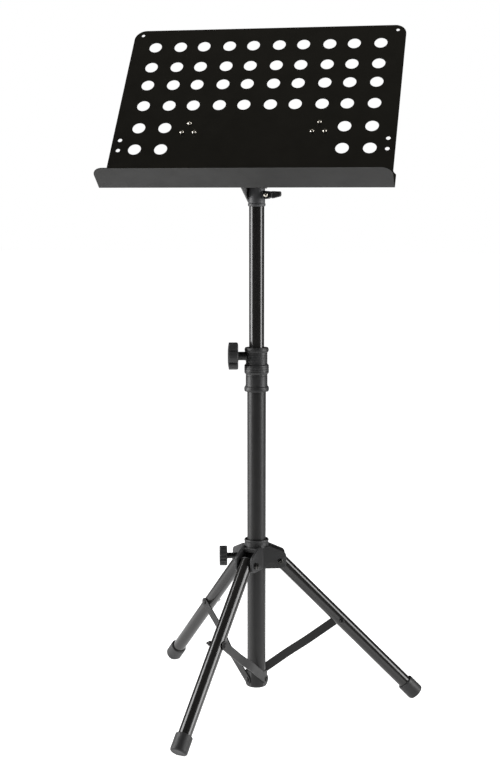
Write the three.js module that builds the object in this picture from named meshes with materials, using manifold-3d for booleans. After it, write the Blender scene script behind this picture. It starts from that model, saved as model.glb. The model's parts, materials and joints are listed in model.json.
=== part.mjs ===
// A folding music stand: perforated sheet-steel desk on a tilting, swivelling head, a two-stage
// telescopic pole, and three tube legs that spread from a sliding hub and are tied by flat braces.
// Millimetres, +Z up. The desk faces -Y and is symmetric about the plane through the pole axis.
// The origin is the bottom centre of the whole stand's box, on the floor.

import * as THREE from 'three';
import { mergeVertices } from 'three/addons/utils/BufferGeometryUtils.js';
import Module from 'manifold-3d';

const wasm = await Module();
wasm.setup();

const DEG = Math.PI / 180;
const GAP = 0.3; // between pieces that touch
const ROUND = 16; // segments round a leg
const POLE_ROUND = 24; // segments round the pole and what slides on it
const SMALL_ROUND = 8; // segments round a fastener

// Where the pole axis stands, seen from the centre of the whole stand's box
const POLE_X = -20.2;
const POLE_Y = 37.3;

// Pole
const OUTER_TUBE_R = 15.875;
const OUTER_TUBE_BOTTOM = 31.5;
const OUTER_TUBE_TOP = 617;
const INNER_TUBE_R = 12.7;
const INNER_TUBE_BOTTOM = 290;
const INNER_TUBE_TOP = 922;
const TUBE_WALL = 1.2;
const BUSH_TOP = 325;

// Height collar and its knob
const COLLAR_R = 18.4;
const COLLAR_BEAD_R = 21;
const COLLAR_TOP = 622;
const KNOB_AZIMUTH = 194;
const HEIGHT_KNOB_Z = 607.5;
const HEIGHT_KNOB_R = 24.2;
const HEIGHT_KNOB_START = 31.6;
const HEIGHT_KNOB_END = 49.2;
const BOSS_R = 7.25;
const SCREW_R = 3.8;
const INSERT_R = 6;
const INSERT_LENGTH = 7;

// Spreader hub
const HUB_R = 20;
const HUB_BOTTOM = 241;
const HUB_RING_R = 21;
const HUB_RING_BOTTOM = 277;
const HUB_TOP = 291;
const EAR_INNER = 12.1; // side faces of an ear, from the leg's own plane
const EAR_OUTER = 16.9;
const EAR_END = 50.3; // reach of an ear from the pole axis
const EAR_CORNER_R = 9;
const EAR_SHOULDER_R = 8;
const EAR_SHOULDER_Z = 262.5;
const HUB_KNOB_Z = 261;
const HUB_KNOB_R = 17.2;
const HUB_KNOB_START = 50.8;
const HUB_KNOB_END = 63.8;
const HUB_BOSS_END = 30;

// Legs
const LEG_AZIMUTHS = { right: 15.7, back: 135.7, front: 255.7 };
const LEG_R = 11.5;
const LEG_PIVOT_R = 40.3;
const LEG_PIVOT_Z = 253.5;
const LEG_SPREAD = 44.54;
const LEG_TOP = 7; // tube beyond the pivot
const LEG_LENGTH = 343.2; // pivot to the tube's lower end
const LEG_BOLT_R = 3;
const LEG_BOLT_HEAD_R = 4.8;
const FOOT_R = 14.6;
const FOOT_END = 346.2;
const FOOT_LENGTH = 30;
const FOOT_EDGE = 3.6;

// Braces
const BRACE_PIVOT_Z = 41.7;
const BRACE_LENGTH = 180;
const BRACE_RISE = 34.7;
const BRACE_WIDTH = 15;
const BRACE_THICKNESS = 2.5;
const BRACE_BASE_OFFSET = 17.3; // inner face, from the leg's own plane
const BRACE_LEG_OFFSET = 11.9;
const BRACE_JOG_START = 60;
const BRACE_JOG_END = 120;
const BRACE_ON_LEG = 153.5; // along the leg, from its pivot
const RIVET_R = 2.2;
const RIVET_HEAD_R = 4.5;

// Base bracket
const CUP_R = 18.9;
const CUP_BOTTOM = 28;
const CUP_TOP = 56;
const CUP_FLAT = 17;

// Head: sleeve, clamp and yoke
const SLEEVE_R = 14;
const SLEEVE_BORE = 13;
const SLEEVE_BOTTOM = 859;
const SLEEVE_TOP = 930;
const CLAMP_X = 18.8;
const CLAMP_Z = 878;
const CLAMP_FRONT = -10.4;
const CLAMP_BACK = 8;
const LUG_R = 6.5;
const LEVER_BOSS_R = 6.8;
const LEVER_FRONT = -17.5;
const CHEEK_INNER = 14.4;
const SHEET = 2;
const YOKE_TOP = 938;

// Desk, in its own axes: x across, y up the plate from the fold, z forward
const FOLD_Y = -103;
const FOLD_Z = 890;
const DESK_TILT = 37.5; // back from vertical
const DESK_SHEET = 1.5;
const DESK_WIDTH = 473;
const DESK_HEIGHT = 343;
const DESK_CORNER_R = 20;
const SHELF_WIDTH = 483;
const SHELF_DEPTH = 51;
const SHELF_CORNER_R = 18;
const SHOULDER = 27; // height of the plate that is as wide as the shelf
const BEND_R = 2;
const HOLE_R = 11;
const HOLE_COLUMNS = [22.4, 64.2, 109, 150.6, 195.4];
const HOLE_ROWS = [79, 124.3, 172.5, 218, 258.2, 303.7];
const OUTER_ONLY_ROWS = 2; // the lowest rows have holes in the two outer columns only
const TILT_PIVOT_Y = 65;
const TILT_PIVOT_Z = -27;
const TILT_BOLT_R = 3;
const BRACKET_BACK = -3.8;
const DESK_RIVETS = { top: [109, 133], inner: [98.5, 114], outer: [119.5, 114] };
const DESK_RIVET_R = 1.6;
const DESK_RIVET_HEAD_R = 3.6;
const DESK_RIVET_HEAD = 2.5;

const material = (color, roughness, metalness) =>
  new THREE.MeshStandardMaterial({ color, roughness, metalness });
const deskPaint = () => material(0x141414, 0.45, 0.3);
const satinPaint = () => material(0x2b2b2c, 0.5, 0.3);
const greyPaint = () => material(0x4a4a4c, 0.5, 0.3);
const glossPaint = () => material(0x17130f, 0.15, 0.6);
const blackPlastic = () => material(0x1a1a1b, 0.45, 0);
const rubber = () => material(0x19191a, 0.8, 0);
const blackZinc = () => material(0x3a3a3b, 0.35, 0.9);
const nickel = () => material(0xb9ab92, 0.3, 0.9);
const brass = () => material(0xa98a4a, 0.35, 0.9);

// ---- turning geometries into solids and back ----

function toSolid(geometry) {
  const bare = geometry.clone();
  bare.deleteAttribute('normal');
  bare.deleteAttribute('uv');
  const merged = mergeVertices(bare, 1e-4);
  const corners = merged.index.array;
  const kept = [];
  for (let i = 0; i < corners.length; i += 3) {
    const [a, b, c] = [corners[i], corners[i + 1], corners[i + 2]];
    if (a !== b && b !== c && c !== a) kept.push(a, b, c);
  }
  const vertProperties = new Float32Array(merged.attributes.position.array);
  return new wasm.Manifold(new wasm.Mesh({ numProp: 3, vertProperties, triVerts: new Uint32Array(kept) }));
}

function toGeometry(solid) {
  const mesh = solid.getMesh();
  const geometry = new THREE.BufferGeometry();
  geometry.setAttribute('position', new THREE.BufferAttribute(new Float32Array(mesh.vertProperties), 3));
  geometry.setIndex(new THREE.BufferAttribute(new Uint32Array(mesh.triVerts), 1));
  return geometry;
}

function join(...geometries) {
  return toGeometry(geometries.map(toSolid).reduce((whole, piece) => whole.add(piece)));
}

function cut(geometry, ...tools) {
  return toGeometry(tools.map(toSolid).reduce((whole, tool) => whole.subtract(tool), toSolid(geometry)));
}

function common(a, b) {
  return toGeometry(toSolid(a).intersect(toSolid(b)));
}

// ---- basic shapes ----

// Turned about Z. The profile's [radius, z] points go up the outside and down the inside.
function turned(profile, segments = ROUND) {
  const points = profile.map(([r, z]) => new THREE.Vector2(r, z));
  return new THREE.LatheGeometry(points, segments).rotateX(90 * DEG);
}

function ring(inner, outer, bottom, top, segments = ROUND) {
  const profile = [[inner, bottom], [outer, bottom], [outer, top], [inner, top], [inner, bottom]];
  return turned(profile, segments);
}

function rod(radius, from, to, segments = SMALL_ROUND) {
  const geometry = new THREE.CylinderGeometry(radius, radius, to - from, segments);
  return geometry.rotateX(90 * DEG).translate(0, 0, (from + to) / 2);
}

function box([x0, y0, z0], [x1, y1, z1]) {
  const geometry = new THREE.BoxGeometry(x1 - x0, y1 - y0, z1 - z0);
  return geometry.translate((x0 + x1) / 2, (y0 + y1) / 2, (z0 + z1) / 2);
}

function extruded(shape, from, to, curveSegments = 4) {
  const options = { depth: to - from, bevelEnabled: false, curveSegments };
  return new THREE.ExtrudeGeometry(shape, options).translate(0, 0, from);
}

// Z becomes X, X becomes Y and Y becomes Z: for what is drawn along Z but lies along X
function alongX(geometry) {
  const axes = new THREE.Matrix4().makeBasis(
    new THREE.Vector3(0, 1, 0),
    new THREE.Vector3(0, 0, 1),
    new THREE.Vector3(1, 0, 0),
  );
  return geometry.applyMatrix4(axes);
}

function outline(points) {
  return new THREE.Shape(points.map(([x, y]) => new THREE.Vector2(x, y)));
}

function roundHole(x, y, radius, segments) {
  const points = [];
  for (let i = 0; i < segments; i += 1) {
    const angle = -2 * Math.PI * i / segments;
    points.push(new THREE.Vector2(x + radius * Math.cos(angle), y + radius * Math.sin(angle)));
  }
  return new THREE.Path(points);
}

function regularShape(radius, sides) {
  const points = [];
  for (let i = 0; i < sides; i += 1) {
    const angle = 2 * Math.PI * i / sides;
    points.push([radius * Math.cos(angle), radius * Math.sin(angle)]);
  }
  return outline(points);
}

// A knob's outline: lobes of the given depth round a circle
function lobedShape(radius, depth, lobes, steps) {
  const points = [];
  for (let i = 0; i < lobes * steps; i += 1) {
    const angle = 2 * Math.PI * i / (lobes * steps);
    const r = radius - depth * (1 - Math.abs(Math.cos(angle * lobes / 2)) ** 0.6);
    points.push([r * Math.cos(angle), r * Math.sin(angle)]);
  }
  return outline(points);
}

// ---- scene helpers ----

function add(group, name, geometry, mat) {
  const mesh = new THREE.Mesh(geometry, mat);
  mesh.name = name;
  group.add(mesh);
  return mesh;
}

function turnedGroup(parent, azimuth) {
  const group = new THREE.Group();
  group.rotation.z = azimuth * DEG;
  parent.add(group);
  return group;
}

// A hex nut or head of the given height, with a clear hole
function nut(acrossCorners, bore, from, to) {
  const shape = regularShape(acrossCorners / 2, 6);
  shape.holes.push(roundHole(0, 0, bore, SMALL_ROUND));
  return extruded(shape, from, to);
}

// ---- pole ----

function outerTube() {
  const tube = ring(OUTER_TUBE_R - TUBE_WALL, OUTER_TUBE_R, OUTER_TUBE_BOTTOM, OUTER_TUBE_TOP, POLE_ROUND);
  const screwHole = alongX(rod(SCREW_R + GAP + 0.1, 5, 30)).rotateZ(KNOB_AZIMUTH * DEG);
  const rivetHoles = Object.values(LEG_AZIMUTHS).map((azimuth) =>
    alongX(rod(RIVET_R + GAP, 5, 30)).rotateZ((azimuth + 90) * DEG));
  const lift = (hole, z) => hole.translate(0, 0, z);
  return cut(tube, lift(screwHole, HEIGHT_KNOB_Z), ...rivetHoles.map((hole) => lift(hole, BRACE_PIVOT_Z)));
}

function innerTubeBush() {
  const outer = OUTER_TUBE_R - TUBE_WALL - GAP;
  const bore = INNER_TUBE_R - TUBE_WALL;
  return turned([
    [bore, INNER_TUBE_BOTTOM - 4],
    [outer, INNER_TUBE_BOTTOM - 4],
    [outer, BUSH_TOP],
    [INNER_TUBE_R + GAP, BUSH_TOP],
    [INNER_TUBE_R + GAP, INNER_TUBE_BOTTOM - GAP],
    [bore, INNER_TUBE_BOTTOM - GAP],
    [bore, INNER_TUBE_BOTTOM - 4],
  ]);
}

function collarProfile() {
  const bore = OUTER_TUBE_R + GAP;
  const lip = INNER_TUBE_R + GAP;
  return [
    [bore, 547.5], [19.6, 547.5], [COLLAR_BEAD_R, 550], [COLLAR_BEAD_R, 556], [COLLAR_R, 560],
    [COLLAR_R, 576.5], [COLLAR_BEAD_R, 580], [COLLAR_BEAD_R, 592], [COLLAR_R, 595.5], [COLLAR_R, 614.5],
    [20.4, 616], [20.4, COLLAR_TOP - 0.8], [19.6, COLLAR_TOP], [lip, COLLAR_TOP],
    [lip, OUTER_TUBE_TOP + GAP], [bore, OUTER_TUBE_TOP + GAP], [bore, 547.5],
  ];
}

function heightCollar() {
  const boss = alongX(rod(BOSS_R, OUTER_TUBE_R, HEIGHT_KNOB_START - GAP, 16));
  boss.rotateZ(KNOB_AZIMUTH * DEG).translate(0, 0, HEIGHT_KNOB_Z);
  const bore = rod(OUTER_TUBE_R + GAP, 540, OUTER_TUBE_TOP + GAP, POLE_ROUND);
  const screwHole = alongX(rod(SCREW_R + GAP, 5, 40));
  const insertHole = alongX(rod(INSERT_R + GAP, HEIGHT_KNOB_START - GAP - INSERT_LENGTH, 40));
  const place = (tool) => tool.rotateZ(KNOB_AZIMUTH * DEG).translate(0, 0, HEIGHT_KNOB_Z);
  const body = join(turned(collarProfile(), POLE_ROUND), boss);
  return cut(body, bore, place(screwHole), place(insertHole));
}

function buildPole(stand) {
  add(stand, 'outer_tube', outerTube(), satinPaint());
  const bore = INNER_TUBE_R - TUBE_WALL;
  const innerTube = ring(bore, INNER_TUBE_R, INNER_TUBE_BOTTOM, INNER_TUBE_TOP, POLE_ROUND);
  add(stand, 'inner_tube', innerTube, glossPaint());
  add(stand, 'inner_tube_bush', innerTubeBush(), blackPlastic());
  add(stand, 'height_collar', heightCollar(), blackPlastic());
}

// ---- screws, inserts and knobs, drawn along +X from the pole axis ----

function screwKnob(outlineShape, from, to) {
  const body = alongX(extruded(outlineShape, from, to));
  return cut(body, alongX(rod(SCREW_R + GAP, from - 1, to - 3)));
}

function buildHeightKnob(stand) {
  const group = turnedGroup(stand, KNOB_AZIMUTH);
  group.position.z = HEIGHT_KNOB_Z;
  const insertEnd = HEIGHT_KNOB_START - GAP;
  const insert = ring(SCREW_R + GAP, INSERT_R, insertEnd - INSERT_LENGTH + GAP, insertEnd, SMALL_ROUND);
  const shape = lobedShape(HEIGHT_KNOB_R, 5, 6, 6);
  add(group, 'collar_insert', alongX(insert), brass());
  add(group, 'height_knob', screwKnob(shape, HEIGHT_KNOB_START, HEIGHT_KNOB_END), blackPlastic());
  const screw = rod(SCREW_R, INNER_TUBE_R + GAP, HEIGHT_KNOB_END - 3 - GAP);
  add(group, 'height_knob_screw', alongX(screw), blackZinc());
}

function buildSpreaderKnob(stand) {
  const group = turnedGroup(stand, KNOB_AZIMUTH);
  group.position.z = HUB_KNOB_Z;
  const insert = ring(SCREW_R + GAP, INSERT_R, HUB_BOSS_END - INSERT_LENGTH + GAP, HUB_BOSS_END, SMALL_ROUND);
  const shape = lobedShape(HUB_KNOB_R, 1.6, 12, 3);
  add(group, 'hub_insert', alongX(insert), brass());
  add(group, 'spreader_knob', screwKnob(shape, HUB_KNOB_START, HUB_KNOB_END), blackPlastic());
  const screw = rod(SCREW_R, OUTER_TUBE_R + GAP, HUB_KNOB_END - 3 - GAP);
  add(group, 'spreader_knob_screw', alongX(screw), blackZinc());
}

// ---- spreader hub ----

// One ear in the leg's own plane: (distance from the pole, height)
function earShape() {
  const shape = new THREE.Shape();
  const root = 9;
  shape.moveTo(root, HUB_BOTTOM);
  shape.absarc(EAR_END - EAR_CORNER_R, HUB_BOTTOM + EAR_CORNER_R, EAR_CORNER_R, -90 * DEG, 0, false);
  shape.absarc(EAR_END - EAR_SHOULDER_R, EAR_SHOULDER_Z, EAR_SHOULDER_R, 0, 65 * DEG, false);
  shape.lineTo(HUB_R + 1, HUB_TOP - 10.5);
  shape.lineTo(root, HUB_TOP - 10.5);
  shape.closePath();
  return shape;
}

// Drawn as (x, z) and standing from one side offset to the other
function standingPlate(shape, fromY, toY, curveSegments = 4) {
  const geometry = extruded(shape, 0, toY - fromY, curveSegments);
  return geometry.rotateX(90 * DEG).translate(0, toY, 0);
}

function hubSleeve() {
  const bore = OUTER_TUBE_R + GAP;
  return turned([
    [bore - 1, HUB_BOTTOM], [HUB_R, HUB_BOTTOM], [HUB_R, HUB_RING_BOTTOM],
    [HUB_RING_R, HUB_RING_BOTTOM + 1.5],
    [HUB_RING_R, HUB_TOP - 1.5], [HUB_RING_R - 1, HUB_TOP], [18.4, HUB_TOP], [bore, HUB_TOP - 5],
    [bore - 1, HUB_TOP - 5], [bore - 1, HUB_BOTTOM],
  ], POLE_ROUND);
}

function spreaderHub() {
  const pieces = [hubSleeve()];
  const holes = [rod(OUTER_TUBE_R + GAP, HUB_BOTTOM - 5, HUB_TOP + 5, POLE_ROUND)];
  for (const azimuth of Object.values(LEG_AZIMUTHS)) {
    const turn = (geometry) => geometry.rotateZ(azimuth * DEG);
    pieces.push(turn(standingPlate(earShape(), EAR_INNER, EAR_OUTER)));
    pieces.push(turn(standingPlate(earShape(), -EAR_OUTER, -EAR_INNER)));
    const bolt = rod(LEG_BOLT_R + GAP, -30, 30).rotateX(90 * DEG);
    holes.push(turn(bolt.translate(LEG_PIVOT_R, 0, LEG_PIVOT_Z)));
  }
  const aim = (tool) => tool.rotateZ(KNOB_AZIMUTH * DEG).translate(0, 0, HUB_KNOB_Z);
  pieces.push(aim(alongX(rod(BOSS_R + 1, OUTER_TUBE_R, HUB_BOSS_END, 16))));
  holes.push(aim(alongX(rod(SCREW_R + GAP, 5, 40))));
  holes.push(aim(alongX(rod(INSERT_R + GAP, HUB_BOSS_END - INSERT_LENGTH, 40))));
  return cut(join(...pieces), ...holes);
}

// ---- legs, drawn in the plane of the leg: +X away from the pole, -Z down the leg ----

function legTube() {
  const tube = ring(LEG_R - TUBE_WALL, LEG_R, -LEG_LENGTH, LEG_TOP);
  const boltHole = rod(LEG_BOLT_R + GAP, -20, 20).rotateX(90 * DEG);
  const pinHole = rod(RIVET_R + GAP, -20, 20).rotateX(90 * DEG).translate(0, 0, -BRACE_ON_LEG);
  return cut(tube, boltHole, pinHole);
}

function legPlug() {
  const spigot = LEG_R - TUBE_WALL - GAP;
  return turned([
    [0, LEG_TOP - 3.4], [spigot, LEG_TOP - 3.4], [spigot, LEG_TOP + GAP], [LEG_R, LEG_TOP + GAP],
    [LEG_R - 1, LEG_TOP + 1.8], [LEG_R - 4, LEG_TOP + 3], [0, LEG_TOP + 3.2],
  ]);
}

// A rubber cap with a rounded end, cut flat where it meets the floor
function foot(toLeg) {
  const profile = [];
  const edgeSteps = 4;
  profile.push([0, -FOOT_END]);
  for (let i = 0; i <= edgeSteps; i += 1) {
    const angle = 90 * DEG * i / edgeSteps;
    profile.push([
      FOOT_R - FOOT_EDGE + FOOT_EDGE * Math.sin(angle),
      -FOOT_END + FOOT_EDGE - FOOT_EDGE * Math.cos(angle),
    ]);
  }
  const mouth = -FOOT_END + FOOT_LENGTH;
  profile.push([FOOT_R, mouth - 1], [FOOT_R - 1, mouth], [LEG_R + GAP, mouth]);
  profile.push([LEG_R + GAP, -LEG_LENGTH - GAP], [0, -LEG_LENGTH - GAP]);
  const floor = box([0, -60, -60], [600, 60, 0]).applyMatrix4(toLeg);
  return cut(turned(profile), floor);
}

function legBolt() {
  const head = rod(LEG_BOLT_HEAD_R, EAR_OUTER + GAP, EAR_OUTER + GAP + 3.2, ROUND);
  const shank = rod(LEG_BOLT_R, -EAR_OUTER - 7.5, EAR_OUTER + GAP + 0.5);
  return join(head, shank).rotateX(90 * DEG);
}

function brace() {
  const half = BRACE_WIDTH / 2;
  const plan = outline([
    [-half, BRACE_BASE_OFFSET],
    [BRACE_JOG_START, BRACE_BASE_OFFSET],
    [BRACE_JOG_END, BRACE_LEG_OFFSET],
    [BRACE_LENGTH + half, BRACE_LEG_OFFSET],
    [BRACE_LENGTH + half, BRACE_LEG_OFFSET + BRACE_THICKNESS],
    [BRACE_JOG_END, BRACE_LEG_OFFSET + BRACE_THICKNESS],
    [BRACE_JOG_START, BRACE_BASE_OFFSET + BRACE_THICKNESS],
    [-half, BRACE_BASE_OFFSET + BRACE_THICKNESS],
  ]);
  const side = new THREE.Shape();
  side.moveTo(0, -half);
  side.lineTo(BRACE_LENGTH, -half);
  side.absarc(BRACE_LENGTH, 0, half, -90 * DEG, 90 * DEG, false);
  side.lineTo(0, half);
  side.absarc(0, 0, half, 90 * DEG, 270 * DEG, false);
  side.holes.push(roundHole(0, 0, RIVET_R + GAP, SMALL_ROUND));
  side.holes.push(roundHole(BRACE_LENGTH, 0, RIVET_R + GAP, SMALL_ROUND));
  return common(extruded(plan, -half - 1, half + 1), standingPlate(side, 0, 30, 6));
}

// Low domed head outside, shank through to the inner end, drawn outwards along Y
function rivet(inner, face, headR, shankR) {
  const profile = [[0, inner], [shankR, inner], [shankR, face + GAP], [headR, face + GAP]];
  profile.push([headR * 0.85, face + GAP + 1.1], [headR * 0.4, face + GAP + 1.8], [0, face + GAP + 1.9]);
  return turned(profile, SMALL_ROUND).rotateX(-90 * DEG);
}

// The pin crosses the leg and ends in a dome nut on the side away from the brace
function bracePin() {
  const profile = [[0, -LEG_R + 0.2], [RIVET_R, -LEG_R + 0.2], [RIVET_R, LEG_R + 0.5], [4.2, LEG_R + 0.5]];
  profile.push([4.2, LEG_R + 4], [2.9, LEG_R + 5.6], [2.4, LEG_R + 8], [0, LEG_R + 8.4]);
  return turned(profile, SMALL_ROUND).rotateX(90 * DEG);
}

function baseRivet() {
  const outer = BRACE_BASE_OFFSET + BRACE_THICKNESS + GAP;
  const tail = OUTER_TUBE_R - TUBE_WALL - 1.2;
  const profile = [[0, tail - 1.6], [3.6, tail - 1.6], [4, tail], [RIVET_R, tail], [RIVET_R, outer]];
  profile.push([RIVET_HEAD_R, outer], [RIVET_HEAD_R * 0.85, outer + 1.1], [0, outer + 1.9]);
  return turned(profile, SMALL_ROUND).rotateX(-90 * DEG);
}

function buildLegs(stand) {
  for (const [name, azimuth] of Object.entries(LEG_AZIMUTHS)) {
    const plane = turnedGroup(stand, azimuth);
    const pivot = new THREE.Group();
    pivot.position.set(LEG_PIVOT_R, 0, LEG_PIVOT_Z);
    plane.add(pivot);
    const leg = new THREE.Group();
    leg.rotation.y = -LEG_SPREAD * DEG;
    pivot.add(leg);
    const legToPlane = new THREE.Matrix4().makeRotationY(-LEG_SPREAD * DEG)
      .setPosition(LEG_PIVOT_R, 0, LEG_PIVOT_Z);
    add(leg, `leg_tube_${name}`, legTube(), glossPaint());
    add(leg, `leg_plug_${name}`, legPlug(), blackPlastic());
    add(leg, `foot_${name}`, foot(legToPlane.clone().invert()), rubber());
    const pin = add(leg, `brace_pin_${name}`, bracePin(), satinPaint());
    pin.position.z = -BRACE_ON_LEG;
    add(pivot, `leg_bolt_${name}`, legBolt(), blackZinc());
    const legNut = nut(11.5, LEG_BOLT_R + GAP, EAR_OUTER + GAP, EAR_OUTER + 5.3);
    add(pivot, `leg_nut_${name}`, legNut.rotateX(-90 * DEG), blackZinc());
    const strip = new THREE.Group();
    strip.position.z = BRACE_PIVOT_Z;
    strip.rotation.y = -BRACE_RISE * DEG;
    plane.add(strip);
    add(strip, `brace_${name}`, brace(), satinPaint());
    const stub = rivet(LEG_R + GAP, BRACE_LEG_OFFSET + BRACE_THICKNESS, RIVET_HEAD_R, RIVET_R);
    add(strip, `brace_rivet_${name}`, stub.translate(BRACE_LENGTH, 0, 0), satinPaint());
    add(strip, `base_rivet_${name}`, baseRivet(), satinPaint());
  }
}

function baseBracket() {
  const bore = OUTER_TUBE_R + GAP;
  const cup = turned([
    [0, CUP_BOTTOM], [CUP_R - 5, CUP_BOTTOM], [CUP_R - 2, CUP_BOTTOM + 1.2], [CUP_R, CUP_BOTTOM + 4.5],
    [CUP_R, CUP_TOP], [bore, CUP_TOP], [bore, OUTER_TUBE_BOTTOM - GAP], [0, OUTER_TUBE_BOTTOM - GAP],
  ], POLE_ROUND);
  const tools = [];
  for (const azimuth of Object.values(LEG_AZIMUTHS)) {
    const turn = (geometry) => geometry.rotateZ(azimuth * DEG);
    tools.push(turn(box([-30, CUP_FLAT, CUP_BOTTOM - 5], [30, 40, CUP_TOP + 5])));
    tools.push(turn(rod(RIVET_R + GAP, -30, -5).rotateX(90 * DEG).translate(0, 0, BRACE_PIVOT_Z)));
  }
  return cut(cup, ...tools);
}

// ---- head ----

// The split lug beside the sleeve as (x, z), rounded about the clamp bolt
function lugShape() {
  const shape = new THREE.Shape();
  shape.moveTo(11, CLAMP_Z - LUG_R);
  shape.absarc(CLAMP_X, CLAMP_Z, LUG_R, -90 * DEG, 90 * DEG, false);
  shape.lineTo(11, CLAMP_Z + LUG_R);
  shape.closePath();
  return shape;
}

function headSleeve() {
  const sleeve = turned([
    [SLEEVE_BORE - 0.5, SLEEVE_BOTTOM], [14.3, SLEEVE_BOTTOM], [14.8, SLEEVE_BOTTOM + 1.5],
    [14.8, SLEEVE_BOTTOM + 4.6], [SLEEVE_R, SLEEVE_BOTTOM + 6], [SLEEVE_R, SLEEVE_TOP],
    [SLEEVE_BORE - 0.5, SLEEVE_TOP], [SLEEVE_BORE - 0.5, SLEEVE_BOTTOM],
  ], POLE_ROUND);
  const lug = standingPlate(lugShape(), CLAMP_FRONT, CLAMP_BACK, 10);
  const bore = rod(SLEEVE_BORE, SLEEVE_BOTTOM - 5, SLEEVE_TOP + 5, POLE_ROUND);
  const slit = box([5, -1.2, SLEEVE_BOTTOM - 5], [40, 1.2, CLAMP_Z + 10]);
  const boltHole = rod(3 + GAP, -30, 30).rotateX(90 * DEG).translate(CLAMP_X, 0, CLAMP_Z);
  return cut(join(sleeve, lug), bore, slit, boltHole);
}

function sleeveCap() {
  return turned([
    [0, SLEEVE_TOP - 5], [SLEEVE_BORE - GAP, SLEEVE_TOP - 5], [SLEEVE_BORE - GAP, SLEEVE_TOP + GAP],
    [SLEEVE_R, SLEEVE_TOP + GAP], [SLEEVE_R - 1, SLEEVE_TOP + 2.4], [0, SLEEVE_TOP + 3.2],
  ], POLE_ROUND);
}

// The tilt pivot, in the stand's (y, z)
function tiltPivot() {
  const tilt = DESK_TILT * DEG;
  const y = FOLD_Y + TILT_PIVOT_Y * Math.sin(tilt) - TILT_PIVOT_Z * Math.cos(tilt);
  const z = FOLD_Z + TILT_PIVOT_Y * Math.cos(tilt) + TILT_PIVOT_Z * Math.sin(tilt);
  return [y, z];
}

// A cheek as (y, z): up the back, forward to the pivot and down the sloping lower edge
function cheek(rearBottom, rearBottomY, noseBottom) {
  const [pivotY, pivotZ] = tiltPivot();
  const noseR = 13;
  const back = CHEEK_INNER + SHEET;
  const shape = new THREE.Shape();
  shape.moveTo(rearBottomY, rearBottom);
  shape.lineTo(back, rearBottom + 5);
  shape.lineTo(back, YOKE_TOP);
  shape.absarc(pivotY, pivotZ, noseR, 80 * DEG, 190 * DEG, false);
  shape.lineTo(pivotY - 12, noseBottom);
  shape.closePath();
  shape.holes.push(roundHole(pivotY, pivotZ, TILT_BOLT_R + GAP, SMALL_ROUND));
  return shape;
}

function headYoke() {
  const outer = CHEEK_INNER + SHEET;
  const left = alongX(extruded(cheek(SLEEVE_BOTTOM + 6, 8, 891), -outer, -CHEEK_INNER));
  const right = alongX(extruded(cheek(CLAMP_Z + 10.5, 4, 894), CHEEK_INNER, outer));
  const web = box([-outer, CHEEK_INNER, CLAMP_Z + 16], [outer, outer, YOKE_TOP]);
  return join(left, right, web);
}

// The lever is drawn as (x, z) and stands between its back and front faces
function clampLever() {
  const shape = new THREE.Shape();
  shape.absarc(0, 0, LEVER_BOSS_R, 65 * DEG, 320 * DEG, false);
  shape.lineTo(9, -4);
  shape.lineTo(20, -1.4);
  shape.lineTo(20, 3.4);
  shape.lineTo(9, 4.4);
  shape.lineTo(8.8, 6);
  shape.closePath();
  shape.holes.push(roundHole(0, 0, 3 + GAP, SMALL_ROUND));
  return standingPlate(shape, LEVER_FRONT, CLAMP_FRONT - GAP, 10);
}

function leverGrip() {
  const shape = outline([[9.6, -6.2], [24.4, -2.6], [25.5, 0.4], [25.2, 4.4], [24, 5.8], [9.6, 6.3]]);
  const grip = standingPlate(shape, LEVER_FRONT - 1.6, CLAMP_FRONT - GAP + 0.6);
  const socket = outline([[8, -4.4], [9, -4.3], [20.4, -1.8], [20.4, 3.8], [9, 4.7], [8, 4.8]]);
  return cut(grip, standingPlate(socket, LEVER_FRONT - GAP, CLAMP_FRONT + 5));
}

function clampBolt() {
  const head = rod(3.4, LEVER_FRONT - GAP - 2.8, LEVER_FRONT - GAP);
  const shank = rod(3, LEVER_FRONT - GAP - 0.5, CLAMP_BACK + 6.5);
  return join(head, shank).rotateX(-90 * DEG);
}

function buildHead(stand) {
  add(stand, 'head_sleeve', headSleeve(), greyPaint());
  add(stand, 'sleeve_cap', sleeveCap(), blackPlastic());
  add(stand, 'head_yoke', headYoke(), greyPaint());
  const clamp = new THREE.Group();
  clamp.position.set(CLAMP_X, 0, CLAMP_Z);
  stand.add(clamp);
  add(clamp, 'clamp_lever', clampLever(), satinPaint());
  add(clamp, 'clamp_grip', leverGrip(), blackPlastic());
  add(clamp, 'clamp_bolt', clampBolt(), nickel());
  const clampNut = nut(11.5, 3 + GAP, CLAMP_BACK + GAP, CLAMP_BACK + 5.3);
  add(clamp, 'clamp_nut', clampNut.rotateX(-90 * DEG), blackZinc());
  buildTilt(stand);
}

function buildTilt(stand) {
  const [pivotY, pivotZ] = tiltPivot();
  const hinge = new THREE.Group();
  hinge.position.set(0, pivotY, pivotZ);
  stand.add(hinge);
  const washerFrom = CHEEK_INNER + SHEET + GAP;
  const earFace = washerFrom + 1 + GAP + SHEET;
  const washer = () => ring(TILT_BOLT_R + GAP, 9, washerFrom, washerFrom + 1, 16);
  add(hinge, 'tilt_washer_right', alongX(washer()), brass());
  add(hinge, 'tilt_washer_left', alongX(washer()).rotateZ(180 * DEG), brass());
  const spacerEnd = CHEEK_INNER - GAP;
  add(hinge, 'tilt_spacer', alongX(ring(TILT_BOLT_R + GAP, 6, -spacerEnd, spacerEnd, 16)), blackZinc());
  const head = extruded(regularShape(5.8, 6), -earFace - GAP - 4, -earFace - GAP);
  const shank = rod(TILT_BOLT_R, -earFace - GAP - 0.5, earFace + 7);
  add(hinge, 'tilt_bolt', alongX(join(head, shank)), blackZinc());
  add(hinge, 'tilt_nut', alongX(nut(11.5, TILT_BOLT_R + GAP, earFace + GAP, earFace + 5.3)), blackZinc());
}

// ---- desk ----

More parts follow.
